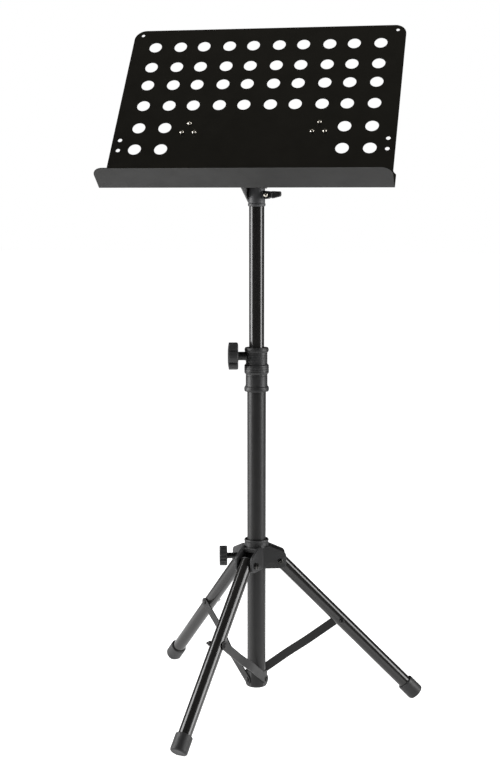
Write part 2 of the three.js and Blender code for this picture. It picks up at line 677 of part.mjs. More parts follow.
function plateShape() {
  const side = DESK_WIDTH / 2;
  const wide = SHELF_WIDTH / 2;
  const turn = DESK_HEIGHT - DESK_CORNER_R;
  const shape = new THREE.Shape();
  shape.moveTo(-wide, BEND_R);
  shape.lineTo(wide, BEND_R);
  shape.lineTo(wide, SHOULDER);
  shape.lineTo(side, SHOULDER + 4);
  shape.absarc(side - DESK_CORNER_R, turn, DESK_CORNER_R, 0, 90 * DEG, false);
  shape.absarc(-side + DESK_CORNER_R, turn, DESK_CORNER_R, 90 * DEG, 180 * DEG, false);
  shape.lineTo(-side, SHOULDER + 4);
  shape.lineTo(-wide, SHOULDER);
  shape.closePath();
  return shape;
}

function addPerforations(shape) {
  HOLE_ROWS.forEach((y, row) => {
    HOLE_COLUMNS.forEach((x, column) => {
      if (row < OUTER_ONLY_ROWS && column < HOLE_COLUMNS.length - 2) return;
      shape.holes.push(roundHole(x, y, HOLE_R, 12), roundHole(-x, y, HOLE_R, 12));
    });
  });
  for (const side of [-1, 1]) {
    shape.holes.push(roundHole(side * 222, DESK_HEIGHT - 11, 3, 8));
    shape.holes.push(roundHole(side * 223.6, 98.7, 3.75, 8));
    shape.holes.push(roundHole(side * 223.6, 77.2, 3.75, 8));
    for (const [x, y] of Object.values(DESK_RIVETS)) {
      shape.holes.push(roundHole(side * x, y, DESK_RIVET_R + GAP, 8));
    }
  }
}

// The shelf as (x, forward): rounded at its two free corners
function shelfShape() {
  const wide = SHELF_WIDTH / 2;
  const turn = SHELF_DEPTH - SHELF_CORNER_R;
  const shape = new THREE.Shape();
  shape.moveTo(-wide, BEND_R);
  shape.lineTo(wide, BEND_R);
  shape.absarc(wide - SHELF_CORNER_R, turn, SHELF_CORNER_R, 0, 90 * DEG, false);
  shape.absarc(-wide + SHELF_CORNER_R, turn, SHELF_CORNER_R, 90 * DEG, 180 * DEG, false);
  shape.closePath();
  return shape;
}

// The bend between plate and shelf, as (up the plate, forward), with a short leg on each side
function bendShape() {
  const leg = 10;
  const outer = BEND_R + DESK_SHEET;
  const shape = new THREE.Shape();
  shape.moveTo(leg, -DESK_SHEET);
  shape.lineTo(leg, 0);
  shape.lineTo(BEND_R, 0);
  shape.absarc(BEND_R, BEND_R, BEND_R, 270 * DEG, 180 * DEG, true);
  shape.lineTo(0, leg);
  shape.lineTo(-DESK_SHEET, leg);
  shape.lineTo(-DESK_SHEET, BEND_R);
  shape.absarc(BEND_R, BEND_R, outer, 180 * DEG, 270 * DEG, false);
  shape.closePath();
  return shape;
}

function deskPlate() {
  const shape = plateShape();
  addPerforations(shape);
  const plate = extruded(shape, -DESK_SHEET, 0, 6);
  const shelf = extruded(shelfShape(), 0, DESK_SHEET, 6).rotateX(90 * DEG);
  const bend = alongX(extruded(bendShape(), -SHELF_WIDTH / 2, SHELF_WIDTH / 2, 3));
  return join(plate, shelf, bend);
}

// The strap: a middle pad, two arms and a rounded triangle at each end
function strapShape() {
  const shape = outline([
    [-22, 46], [22, 46], [24, 104], [92, 106], [122, 106], [128, 112], [127, 120], [114, 139], [104, 139],
    [94, 128], [26, 126], [22, 150], [-22, 150], [-26, 126], [-94, 128], [-104, 139], [-114, 139],
    [-127, 120], [-128, 112], [-122, 106], [-92, 106], [-24, 104],
  ]);
  for (const side of [-1, 1]) {
    for (const [x, y] of Object.values(DESK_RIVETS)) {
      shape.holes.push(roundHole(side * x, y, DESK_RIVET_R + GAP, 8));
    }
  }
  return shape;
}

// An ear as (up the plate, forward): from the strap back to the tilt pivot
function bracketEar() {
  const endR = 12;
  const shape = new THREE.Shape();
  shape.moveTo(48, BRACKET_BACK + 1);
  shape.absarc(TILT_PIVOT_Y, TILT_PIVOT_Z, endR, 175 * DEG, 310 * DEG, false);
  shape.lineTo(128, BRACKET_BACK - 4);
  shape.lineTo(140, BRACKET_BACK + 1);
  shape.closePath();
  shape.holes.push(roundHole(TILT_PIVOT_Y, TILT_PIVOT_Z, TILT_BOLT_R + GAP, SMALL_ROUND));
  return shape;
}

function deskBracket() {
  const inner = CHEEK_INNER + SHEET + GAP + 1 + GAP;
  const strap = extruded(strapShape(), BRACKET_BACK, BRACKET_BACK + SHEET);
  const right = alongX(extruded(bracketEar(), inner, inner + SHEET, 8));
  const left = alongX(extruded(bracketEar(), -inner - SHEET, -inner, 8));
  return join(strap, right, left);
}

function deskRivet() {
  const back = BRACKET_BACK - GAP;
  const profile = [[0, back - 1.2], [2.6, back - 1], [2.8, back], [DESK_RIVET_R, back], [DESK_RIVET_R, GAP]];
  const top = GAP + DESK_RIVET_HEAD;
  profile.push([DESK_RIVET_HEAD_R, GAP], [DESK_RIVET_HEAD_R * 0.9, top - 1]);
  profile.push([DESK_RIVET_HEAD_R * 0.5, top], [0, top]);
  return turned(profile, SMALL_ROUND);
}

function buildDesk(stand) {
  const desk = new THREE.Group();
  desk.position.set(0, FOLD_Y, FOLD_Z);
  desk.rotation.x = (90 - DESK_TILT) * DEG;
  stand.add(desk);
  add(desk, 'desk_plate', deskPlate(), deskPaint());
  add(desk, 'desk_bracket', deskBracket(), satinPaint());
  for (const [sideName, side] of [['left', -1], ['right', 1]]) {
    for (const [place, [x, y]] of Object.entries(DESK_RIVETS)) {
      const mesh = add(desk, `desk_rivet_${place}_${sideName}`, deskRivet(), nickel());
      mesh.position.set(side * x, y, 0);
    }
  }
}

function buildStand() {
  const model = new THREE.Group();
  const stand = new THREE.Group();
  stand.position.set(POLE_X, POLE_Y, 0);
  model.add(stand);
  buildPole(stand);
  buildHeightKnob(stand);
  add(stand, 'spreader_hub', spreaderHub(), blackPlastic());
  buildSpreaderKnob(stand);
  add(stand, 'base_bracket', baseBracket(), satinPaint());
  buildLegs(stand);
  buildHead(stand);
  buildDesk(stand);
  return model;
}

export default buildStand();
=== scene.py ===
"""Looks of a folding music stand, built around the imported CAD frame. Shapes are drawn in millimetres."""

import json
import math

import bmesh
import bpy
from mathutils import Matrix, Vector


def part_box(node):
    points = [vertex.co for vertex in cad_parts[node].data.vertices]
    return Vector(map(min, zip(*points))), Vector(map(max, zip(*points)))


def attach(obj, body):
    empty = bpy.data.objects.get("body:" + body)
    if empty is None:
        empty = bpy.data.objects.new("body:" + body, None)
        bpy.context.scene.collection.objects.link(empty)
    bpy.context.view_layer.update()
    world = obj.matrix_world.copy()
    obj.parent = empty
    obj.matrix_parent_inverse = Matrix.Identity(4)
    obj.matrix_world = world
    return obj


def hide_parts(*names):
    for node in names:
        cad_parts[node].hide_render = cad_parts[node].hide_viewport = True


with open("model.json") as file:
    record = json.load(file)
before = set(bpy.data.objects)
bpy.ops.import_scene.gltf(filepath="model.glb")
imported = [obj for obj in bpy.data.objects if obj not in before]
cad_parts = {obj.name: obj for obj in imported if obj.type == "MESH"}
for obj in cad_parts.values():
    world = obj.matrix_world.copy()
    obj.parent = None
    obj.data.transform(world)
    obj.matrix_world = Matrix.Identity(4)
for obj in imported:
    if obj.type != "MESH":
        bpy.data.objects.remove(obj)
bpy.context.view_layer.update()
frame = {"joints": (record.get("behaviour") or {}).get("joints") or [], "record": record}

MM = 0.001
TAU = 2 * math.pi
SCALE = Matrix.Scale(MM, 4)

# ---- sizes in millimetres ----

GAP = 0.3
TUBE_WALL = 1.2
OUTER_TUBE_R = 15.875
INNER_TUBE_R = 12.7
LEG_R = 11.5
SCREW_R = 3.8
INSERT_R = 6.0
RIVET_R = 2.2
RIVET_HEAD_R = 4.5
RIVET_HEAD = 1.9
BOLT_R = 3.0
HUB_BOSS_END = 30.0
KNOB_START = 31.6
KNOB_END = 49.2
SMALL_KNOB_START = 50.8
SMALL_KNOB_END = 63.8
EAR_INNER = 12.1
EAR_OUTER = 16.9
BRACE_BASE_OFFSET = 17.3
BRACE_LEG_OFFSET = 11.9
BRACE_THICKNESS = 2.5
BRACE_WIDTH = 15.0
BRACE_ON_LEG = 153.5
CHEEK_INNER = 14.4
SHEET = 2.0
WASHER = 1.0
DESK_SHEET = 1.5
DESK_WIDTH = 473.0
DESK_HEIGHT = 343.0
SHELF_WIDTH = 483.0
SHELF_DEPTH = 51.0
SHOULDER = 27.0
BEND_R = 2.0
HOLE_COLUMNS = (22.4, 64.2, 109.0, 150.6, 195.4)
HOLE_ROWS = (79.0, 124.3, 172.5, 218.0, 258.2, 303.7)
LOW_ROWS = 2
FIRST_LOW_COLUMN = 3
HOLE_R = 11.0
CORNER_HOLE_X = 222.0
CORNER_HOLE_DROP = 11.0
CORNER_HOLE_R = 3.0
SIDE_HOLE_X = 223.6
SIDE_HOLE_ROWS = (98.7, 77.2)
SIDE_HOLE_R = 3.75
DESK_RIVET_HOLE_R = 1.9
DESK_RIVETS = {"top": (109.0, 133.0), "inner": (98.5, 114.0), "outer": (119.5, 114.0)}
BRACKET_BACK = -3.8
SHELF_MOUNT_REACH = 27.0
KNOB_RIM = 3.0
INSERT_DEPTH = 7.0
NUT_ACROSS = 11.5
NUT_HEIGHT = 5.0

# ---- places, from the frame ----

record = frame["record"]
joints = {joint["name"]: joint for joint in frame["joints"]}
mounts = {mount["name"]: mount for mount in record["mounts"]}
ratios = {c["joint"]: c["ratio"] for c in record["behaviour"]["couplings"]}
hub_travel = joints["hub_slide"]["range_m"][1]
leg_spread = ratios["leg_right_fold"] * hub_travel

tube_low, tube_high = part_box("outer_tube")
mast_low, mast_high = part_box("inner_tube")
pole_x = (tube_low.x + tube_high.x) / 2
pole_y = (tube_low.y + tube_high.y) / 2
pole = Matrix.Translation((pole_x, pole_y, 0)) @ SCALE


def above(z_metres):
    """The pole's own axes, in millimetres, lifted to a height of the frame."""
    return Matrix.Translation((pole_x, pole_y, z_metres)) @ SCALE


def turned_about_z(degrees):
    return Matrix.Rotation(math.radians(degrees), 4, "Z")


def azimuth_of(point):
    return math.degrees(math.atan2(point[1] - pole_y, point[0] - pole_x))


LEG_NAMES = ("right", "back", "front")
LEGS = {name: azimuth_of(joints[f"leg_{name}_fold"]["pos_m"]) for name in LEG_NAMES}
leg_pivot = Vector(joints["leg_right_fold"]["pos_m"])
LEG_PIVOT_R = math.hypot(leg_pivot.x - pole_x, leg_pivot.y - pole_y) / MM
LEG_PIVOT_Z = leg_pivot.z / MM
BRACE_PIVOT_Z = joints["brace_right_fold"]["pos_m"][2] / MM
KNOB_AZIMUTH = math.degrees(math.atan2(*reversed(joints["height_knob_turn"]["axis"][:2])))
HEIGHT_KNOB_Z = joints["height_knob_turn"]["pos_m"][2] / MM
HUB_KNOB_Z = joints["spreader_knob_turn"]["pos_m"][2] / MM
CLAMP_Z = joints["clamp_lever_turn"]["pos_m"][2] / MM
CLAMP_X = (joints["clamp_lever_turn"]["pos_m"][0] - pole_x) / MM
TILT_Y = (joints["desk_tilt"]["pos_m"][1] - pole_y) / MM
TILT_Z = joints["desk_tilt"]["pos_m"][2] / MM

shelf_mount = mounts["music_shelf"]
plate_up = Vector(shelf_mount["axis"])
plate_forward = Vector((0, -plate_up.z, plate_up.y))
fold = Vector(shelf_mount["pos_m"]) - plate_forward * SHELF_MOUNT_REACH * MM
DESK_TILT = math.atan2(plate_up.y, plate_up.z)
desk_axes = Matrix.Translation(fold) @ Matrix.Rotation(math.pi / 2 - DESK_TILT, 4, "X") @ SCALE


# ---- materials ----


def add_node(tree, kind, **values):
    node = tree.nodes.new(kind)
    for key, value in values.items():
        setattr(node, key, value)
    return node


def noise(tree, coordinates, scale, detail=3.0, roughness=0.55):
    node = add_node(tree, "ShaderNodeTexNoise")
    node.inputs["Scale"].default_value = scale
    node.inputs["Detail"].default_value = detail
    node.inputs["Roughness"].default_value = roughness
    tree.links.new(coordinates, node.inputs["Vector"])
    return node.outputs["Fac"]


def spread(tree, value, low, high):
    """The middle of a noise's values brought into a range."""
    node = add_node(tree, "ShaderNodeMapRange")
    node.inputs["From Min"].default_value = 0.3
    node.inputs["From Max"].default_value = 0.7
    node.inputs["To Min"].default_value = low
    node.inputs["To Max"].default_value = high
    tree.links.new(value, node.inputs["Value"])
    return node.outputs["Result"]


def blend_colours(tree, factor, first, second):
    node = add_node(tree, "ShaderNodeMix", data_type="RGBA")
    for socket, colour in (("A", first), ("B", second)):
        target = next(s for s in node.inputs if s.name == socket and s.type == "RGBA")
        if isinstance(colour, tuple):
            target.default_value = (*colour, 1)
        else:
            tree.links.new(colour, target)
    tree.links.new(factor, next(s for s in node.inputs if s.name == "Factor" and s.type == "VALUE"))
    return next(s for s in node.outputs if s.type == "RGBA")


def worn_edges(tree, amount):
    """An amount on convex edges, and 0 elsewhere."""
    geometry = add_node(tree, "ShaderNodeNewGeometry")
    ramp = add_node(tree, "ShaderNodeMapRange")
    ramp.inputs["From Min"].default_value = 0.52
    ramp.inputs["From Max"].default_value = 0.62
    ramp.inputs["To Min"].default_value = 0.0
    ramp.inputs["To Max"].default_value = amount
    tree.links.new(geometry.outputs["Pointiness"], ramp.inputs["Value"])
    return ramp.outputs["Result"]


def finish_material(
    name, colour, fleck, rough, wear, metal=0.0, grain=600.0, bump=0.1, patch=9.0, coat=0.0,
    stretch=(1, 1, 1), specular=0.5
):
    """A coated or bare surface: broad patches, fine grain in the relief, uneven gloss, worn edges."""
    mat = bpy.data.materials.new(name)
    mat.use_nodes = True
    tree = mat.node_tree
    shader = tree.nodes["Principled BSDF"]
    shader.inputs["Metallic"].default_value = metal
    shader.inputs["Specular IOR Level"].default_value = specular
    if coat:
        shader.inputs["Coat Weight"].default_value = coat
        shader.inputs["Coat Roughness"].default_value = 0.06
    place = add_node(tree, "ShaderNodeTexCoord").outputs["Object"]
    mapping = add_node(tree, "ShaderNodeMapping")
    mapping.inputs["Scale"].default_value = stretch
    tree.links.new(place, mapping.inputs["Vector"])
    grain_value = noise(tree, mapping.outputs["Vector"], grain, 4.0)
    patch_value = noise(tree, place, patch, 2.0)
    base = blend_colours(tree, spread(tree, patch_value, 0.0, 1.0), colour, fleck)
    speckle = blend_colours(tree, spread(tree, grain_value, 0.0, 0.35), base, fleck)
    speckle = blend_colours(tree, worn_edges(tree, 0.8), speckle, wear)
    tree.links.new(speckle, shader.inputs["Base Color"])
    smudge = noise(tree, place, patch * 4, 3.0)
    gloss = add_node(tree, "ShaderNodeMath", operation="ADD")
    tree.links.new(spread(tree, smudge, rough[0], rough[1]), gloss.inputs[0])
    tree.links.new(spread(tree, grain_value, -0.02, 0.03), gloss.inputs[1])
    tree.links.new(gloss.outputs[0], shader.inputs["Roughness"])
    relief = add_node(tree, "ShaderNodeBump")
    relief.inputs["Strength"].default_value = bump
    relief.inputs["Distance"].default_value = 0.0002
    tree.links.new(grain_value, relief.inputs["Height"])
    tree.links.new(relief.outputs["Normal"], shader.inputs["Normal"])
    return mat


MATERIALS = {
    "desk_paint": finish_material(
        "desk powder coat", (0.0050, 0.0046, 0.0036), (0.0075, 0.0070, 0.0058), (0.40, 0.50),
        grain=1500, bump=0.35, wear=(0.045, 0.044, 0.043), specular=0.45,
    ),
    "satin_paint": finish_material(
        "satin powder coat", (0.0078, 0.0076, 0.0075), (0.0125, 0.0122, 0.0120), (0.36, 0.44),
        grain=1100, bump=0.25, wear=(0.05, 0.05, 0.05), specular=0.3,
    ),
    "head_paint": finish_material(
        "grey head paint", (0.060, 0.060, 0.062), (0.080, 0.080, 0.083), (0.40, 0.50),
        grain=900, bump=0.4, wear=(0.12, 0.12, 0.12), specular=0.35,
    ),
    "gloss_paint": finish_material(
        "gloss enamel", (0.0050, 0.0044, 0.0038), (0.009, 0.008, 0.007), (0.12, 0.19),
        grain=420, bump=0.015, wear=(0.05, 0.05, 0.05), coat=0.12, specular=0.42,
    ),
    "black_plastic": finish_material(
        "moulded nylon", (0.0150, 0.0150, 0.0154), (0.026, 0.026, 0.0265), (0.38, 0.48),
        grain=900, bump=0.5, wear=(0.08, 0.08, 0.081), specular=0.38,
    ),
    "foot_rubber": finish_material(
        "foot rubber", (0.013, 0.013, 0.0135), (0.024, 0.024, 0.0245), (0.42, 0.55),
        grain=1300, bump=0.5, wear=(0.07, 0.07, 0.07), specular=0.35,
    ),
    "black_zinc": finish_material(
        "black zinc plate", (0.022, 0.022, 0.021), (0.05, 0.049, 0.046), (0.22, 0.34), metal=1.0,
        grain=700, bump=0.12, patch=60, wear=(0.2, 0.195, 0.19),
    ),
    "bright_nickel": finish_material(
        "warm nickel", (0.56, 0.52, 0.45), (0.72, 0.68, 0.60), (0.26, 0.38), metal=1.0,
        grain=700, bump=0.1, patch=80, wear=(0.85, 0.82, 0.75),
    ),
    "brass": finish_material(
        "turned brass", (0.52, 0.37, 0.15), (0.64, 0.47, 0.22), (0.22, 0.34), metal=1.0,
        grain=500, bump=0.1, patch=60, wear=(0.75, 0.6, 0.32), stretch=(1, 1, 8),
    ),
}
SLOT_OF = {part["node"]: part["material_slot"] for part in record["subparts"]}
BODY_OF = {node: body for body, nodes in record["behaviour"]["bodies"].items() for node in nodes}

# ---- mesh helpers: everything is drawn in millimetres and placed by a matrix ----


def new_object(name, mesh):
    obj = bpy.data.objects.new(name, mesh)
    bpy.context.scene.collection.objects.link(obj)
    return obj


def bake_modifiers(obj):
    """Applies the object's modifiers to its mesh."""
    graph = bpy.context.evaluated_depsgraph_get()
    mesh = bpy.data.meshes.new_from_object(obj.evaluated_get(graph))
    obj.modifiers.clear()
    obj.data = mesh
    return obj


def weld(mesh, distance=0.002):
    work = bmesh.new()
    work.from_mesh(mesh)
    bmesh.ops.remove_doubles(work, verts=work.verts, dist=distance)
    bmesh.ops.recalc_face_normals(work, faces=work.faces)
    work.to_mesh(mesh)
    work.free()


def smooth(mesh, degrees=32):
    for polygon in mesh.polygons:
        polygon.use_smooth = True
    mesh.set_sharp_from_angle(angle=math.radians(degrees))


def turned(profile, segments=72):
    """A solid turned about Z. The profile's (radius, z) points run up the outside and down the inside."""
    work = bmesh.new()
    rings = []
    for radius, z in profile:
        if radius < 1e-6:
            rings.append([work.verts.new((0, 0, z))])
            continue
        rings.append([work.verts.new((x, y, z)) for x, y in circle(0, 0, radius, segments)])
    for low, high in zip(rings, rings[1:]):
        join_rings(work, low, high, segments)
    if len(rings[0]) > 1:
        join_rings(work, rings[-1], rings[0], segments)
    bmesh.ops.recalc_face_normals(work, faces=work.faces)
    mesh = bpy.data.meshes.new("turned")
    work.to_mesh(mesh)
    work.free()
    return mesh


def join_rings(work, low, high, segments):
    for i in range(segments):
        j = (i + 1) % segments
        corners = [low[i % len(low)], low[j % len(low)], high[j % len(high)], high[i % len(high)]]
        corners = list(dict.fromkeys(corners))
        if len(corners) > 2:
            work.faces.new(corners)


def rounded(profile, radius, steps=3):
    """Rounds the corners of an open profile, all but its two ends."""
    result = [profile[0]]
    for before, corner, after in zip(profile, profile[1:], profile[2:]):
        result.extend(corner_arc(before, corner, after, radius, steps))
    result.append(profile[-1])
    return result


def rounded_loop(points, radius, steps=3):
    """Rounds every corner of a closed outline."""
    result = []
    count = len(points)
    for i, corner in enumerate(points):
        result.extend(corner_arc(points[i - 1], corner, points[(i + 1) % count], radius, steps))
    return result


def corner_arc(before, corner, after, radius, steps):
    a, c, b = Vector(before), Vector(corner), Vector(after)
    into, out = a - c, b - c
    if into.length < 1e-6 or out.length < 1e-6:
        return [tuple(corner)]
    opening = into.angle(out, math.pi)
    if opening > math.radians(172):
        return [tuple(corner)]
    reach = min(radius / math.tan(opening / 2), into.length * 0.45, out.length * 0.45)
    start, end = c + into.normalized() * reach, c + out.normalized() * reach
    points = []
    for i in range(steps + 1):
        t = i / steps
        points.append(tuple(start * (1 - t) ** 2 + c * 2 * t * (1 - t) + end * t ** 2))
    return points


def ring(inner, outer, low, high, edge=0.25, segments=72):
    corners = [(inner, low), (outer, low), (outer, high), (inner, high)]
    return turned(rounded_loop(corners, edge, 2), segments)


def rod(radius, low, high, edge=0.3, segments=32):
    return turned(rounded([(0, low), (radius, low), (radius, high), (0, high)], edge, 2), segments)


def circle(x, y, radius, segments=32):
    return [(x + radius * math.cos(TAU * i / segments), y + radius * math.sin(TAU * i / segments))
            for i in range(segments)]


def arc(x, y, radius, start, end, steps=12):
    angles = (math.radians(start + (end - start) * i / steps) for i in range(steps + 1))
    return [(x + radius * math.cos(a), y + radius * math.sin(a)) for a in angles]


def dome(radius, base, rise, start=90, end=0, step=10):
    """A profile's domed end over a base, from near its rim to near its middle."""
    angles = (math.radians(d) for d in range(start, end, -step))
    return [(radius * math.sin(a), base + rise * math.cos(a)) for a in angles]


def rolled_edge(radius, low, edge, steps):
    """A profile's round lower edge, from the bottom out to its side."""
    angles = (math.radians(90 * i / steps) for i in range(steps + 1))
    return [(radius - edge + edge * math.sin(a), low + edge - edge * math.cos(a)) for a in angles]


def lobed(radius, depth, lobes, steps=14, sharpness=0.6):
    """A knob's outline: lobes of a given depth round a circle."""
    points = []
    for i in range(lobes * steps):
        angle = TAU * i / (lobes * steps)
        r = radius - depth * (1 - abs(math.cos(angle * lobes / 2)) ** sharpness)
        points.append((r * math.cos(angle), r * math.sin(angle)))
    return points


def flat(outline, low, high, holes=(), edge=0.3, steps=2):
    """A plate drawn in x and y, from one z to another, with its rims rounded by edge."""
    curve = bpy.data.curves.new("flat", "CURVE")
    curve.dimensions = "2D"
    curve.fill_mode = "BOTH"
    for loop in (outline, *holes):
        spline = curve.splines.new("POLY")
        spline.points.add(len(loop) - 1)
        for point, (x, y) in zip(spline.points, loop):
            point.co = (x, y, 0, 1)
        spline.use_cyclic_u = True
    curve.extrude = (high - low) / 2 - edge
    curve.bevel_depth = edge
    curve.bevel_resolution = steps - 1
    curve.offset = -edge
    obj = new_object("flat", curve)
    graph = bpy.context.evaluated_depsgraph_get()
    mesh = bpy.data.meshes.new_from_object(obj.evaluated_get(graph))
    bpy.data.objects.remove(obj)
    mesh.transform(Matrix.Translation((0, 0, (low + high) / 2)))
    weld(mesh)
    return mesh


ALONG_X = Matrix(((0, 0, 1, 0), (1, 0, 0, 0), (0, 1, 0, 0), (0, 0, 0, 1)))
STANDING = Matrix(((1, 0, 0, 0), (0, 0, -1, 0), (0, 1, 0, 0), (0, 0, 0, 1)))
ALONG_Y = Matrix.Rotation(-math.pi / 2, 4, "X")
AGAINST_Y = Matrix.Rotation(math.pi / 2, 4, "X")


def moved(mesh, matrix):
    mesh.transform(matrix)
    if matrix.determinant() < 0:
        mesh.flip_normals()
    return mesh


def along_x(mesh):
    """What was drawn along Z lies along X; a flat shape's x and y become Y and Z."""
    return moved(mesh, ALONG_X)


def standing(outline, low_y, high_y, **options):
    """A plate drawn as (x, z) that stands from one y to another."""
    return moved(flat(outline, -high_y, -low_y, **options), STANDING)


def block(low, high):
    """A box between two corners."""
    work = bmesh.new()
    bmesh.ops.create_cube(work, size=1)
    size = Vector(high) - Vector(low)
    centre = (Vector(high) + Vector(low)) / 2
    placed = Matrix.Translation(centre) @ Matrix.Diagonal((*size, 1))
    bmesh.ops.transform(work, matrix=placed, verts=work.verts)
    mesh = bpy.data.meshes.new("block")
    work.to_mesh(mesh)
    work.free()
    return mesh


def sliced(mesh, axis, positions):
    """Adds cuts square to an axis, 0 for X or 1 for Y, where the mesh is to bend."""
    work = bmesh.new()
    work.from_mesh(mesh)
    normal = Vector((0, 0, 0))
    normal[axis] = 1
    for position in positions:
        everything = work.verts[:] + work.edges[:] + work.faces[:]
        place = normal * position
        bmesh.ops.bisect_plane(work, geom=everything, dist=1e-4, plane_co=place, plane_no=normal)
    work.to_mesh(mesh)
    work.free()
    return mesh


def reshaped(mesh, move):
    """Moves every point of a mesh by a function of its place."""
    for vertex in mesh.vertices:
        vertex.co = move(vertex.co.copy())
    return mesh


def combine(first, others, operation):
    """Joins or cuts closed meshes."""
    base = new_object("base", first)
    for mesh in others:
        tool = new_object("tool", mesh)
        modifier = base.modifiers.new("boolean", "BOOLEAN")
        modifier.operation = operation
        modifier.solver = "EXACT"
        modifier.object = tool
        bake_modifiers(base)
        bpy.data.objects.remove(tool)
    mesh = base.data
    bpy.data.objects.remove(base)
    weld(mesh, 0.001)
    return mesh


def join(first, *others):
    return combine(first, others, "UNION")


def cut(first, *others):
    return combine(first, others, "DIFFERENCE")


def common(first, second):
    return combine(first, (second,), "INTERSECT")


def soften(mesh, width=0.4, segments=2, degrees=30):
    """Rounds a joined solid's sharp edges."""
    obj = new_object("soften", mesh)
    modifier = obj.modifiers.new("bevel", "BEVEL")
    modifier.width = width
    modifier.segments = segments
    modifier.limit_method = "ANGLE"
    modifier.angle_limit = math.radians(degrees)
    modifier.use_clamp_overlap = True
    bake_modifiers(obj)
    mesh = obj.data
    bpy.data.objects.remove(obj)
    return mesh


def piece(node, mesh, axes, degrees=40):
    """Stands a finished mesh in a CAD node's place, on its body and with its finish."""
    moved(mesh, axes)
    smooth(mesh, degrees)
    obj = new_object(f"{node}_fine", mesh)
    mesh.materials.clear()
    mesh.materials.append(MATERIALS[SLOT_OF[node]])
    normals = obj.modifiers.new("flat faces stay flat", "WEIGHTED_NORMAL")
    normals.keep_sharp = True
    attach(obj, BODY_OF[node])
    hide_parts(node)
    return obj


def chamfered_hexagon(across_corners, low, high, inset, rise, holes=()):
    """A hexagonal block whose corners are taken off at both ends."""
    reach = across_corners / 2
    body = flat(circle(0, 0, reach, 6), low, high, holes=holes, edge=0.25)
    cone = turned([(0, low), (reach - inset, low), (reach + 0.05, low + rise),
                   (reach + 0.05, high - rise), (reach - inset, high), (0, high)], 48)
    return common(body, cone)


def nut_beyond(face):
    """A nut for the bolts, seated against a face."""
    bore = circle(0, 0, BOLT_R + GAP, 24)
    return chamfered_hexagon(NUT_ACROSS, face + GAP, face + NUT_HEIGHT + GAP, 0.7, 0.7 * 0.6, [bore])


def hex_bolt(across_corners, head, shank):
    """A hex head and a shank with a chamfered tip and thread rings; head and shank are (low, high)."""
    return join(chamfered_hexagon(across_corners, *head, 0.8, 0.5), threaded(BOLT_R, *shank))


def threaded(radius, low, high, pitch=1.0, depth=0.32, length=9.0):
    """A rod with thread rings over a length from its low end."""
    profile = [(0, low), (radius - 0.6, low), (radius - depth, low + 0.5)]
    turns = int(min(length, high - low - 1) / pitch)
    for i in range(turns):
        z = low + 0.5 + i * pitch
        profile += [(radius, z + pitch * 0.45), (radius, z + pitch * 0.6), (radius - depth, z + pitch)]
    profile += [(radius, low + 0.8 + turns * pitch), (radius, high), (0, high)]
    return turned(profile, 28)


# ---- pole ----


def aimed(z, azimuth):
    """At a height of the pole, what was drawn along X points away from it at an azimuth."""
    return Matrix.Translation((0, 0, z)) @ turned_about_z(azimuth)


def screw_hole(radius, low, high):
    """A cutting tool, out from the pole axis along X."""
    return along_x(rod(radius, low, high, 0.01, 24))


def bolt_hole_across(half_length):
    """A cutting tool for a bolt's hole through the middle, along Y."""
    return moved(rod(BOLT_R + GAP, -half_length, half_length, 0.01), AGAINST_Y)


def outer_tube():
    low, high = tube_low.z / MM, tube_high.z / MM
    tube = ring(OUTER_TUBE_R - TUBE_WALL, OUTER_TUBE_R, low, high, 0.45, 96)
    knob_hole = moved(screw_hole(SCREW_R + GAP, 5, 30), aimed(HEIGHT_KNOB_Z, KNOB_AZIMUTH))
    rivet_holes = [moved(screw_hole(RIVET_R + GAP, 5, 30), aimed(BRACE_PIVOT_Z, azimuth + 90))
                   for azimuth in LEGS.values()]
    return cut(tube, knob_hole, *rivet_holes)


def inner_tube():
    return ring(INNER_TUBE_R - TUBE_WALL, INNER_TUBE_R, mast_low.z / MM, mast_high.z / MM, 0.45, 96)


def inner_tube_bush():
    outer = OUTER_TUBE_R - TUBE_WALL - GAP
    bore = INNER_TUBE_R - TUBE_WALL
    start = mast_low.z / MM
    corners = [(bore, start - 4), (outer, start - 4), (outer, start + 35), (INNER_TUBE_R + GAP, start + 35),
               (INNER_TUBE_R + GAP, start - GAP), (bore, start - GAP)]
    return turned(rounded_loop(corners, 0.4, 2), 64)


def groove(radius, z, depth, half):
    floor = radius - depth
    return [(radius, z - half), (floor, z - half * 0.4), (floor, z + half * 0.4), (radius, z + half)]


def bulge(radius, z, half):
    """The rounded outside of a bead."""
    angles = (math.radians(d) for d in range(-75, 76, 15))
    return [(radius - 1.4 + 1.4 * math.cos(a), z + half * math.sin(a)) for a in angles]


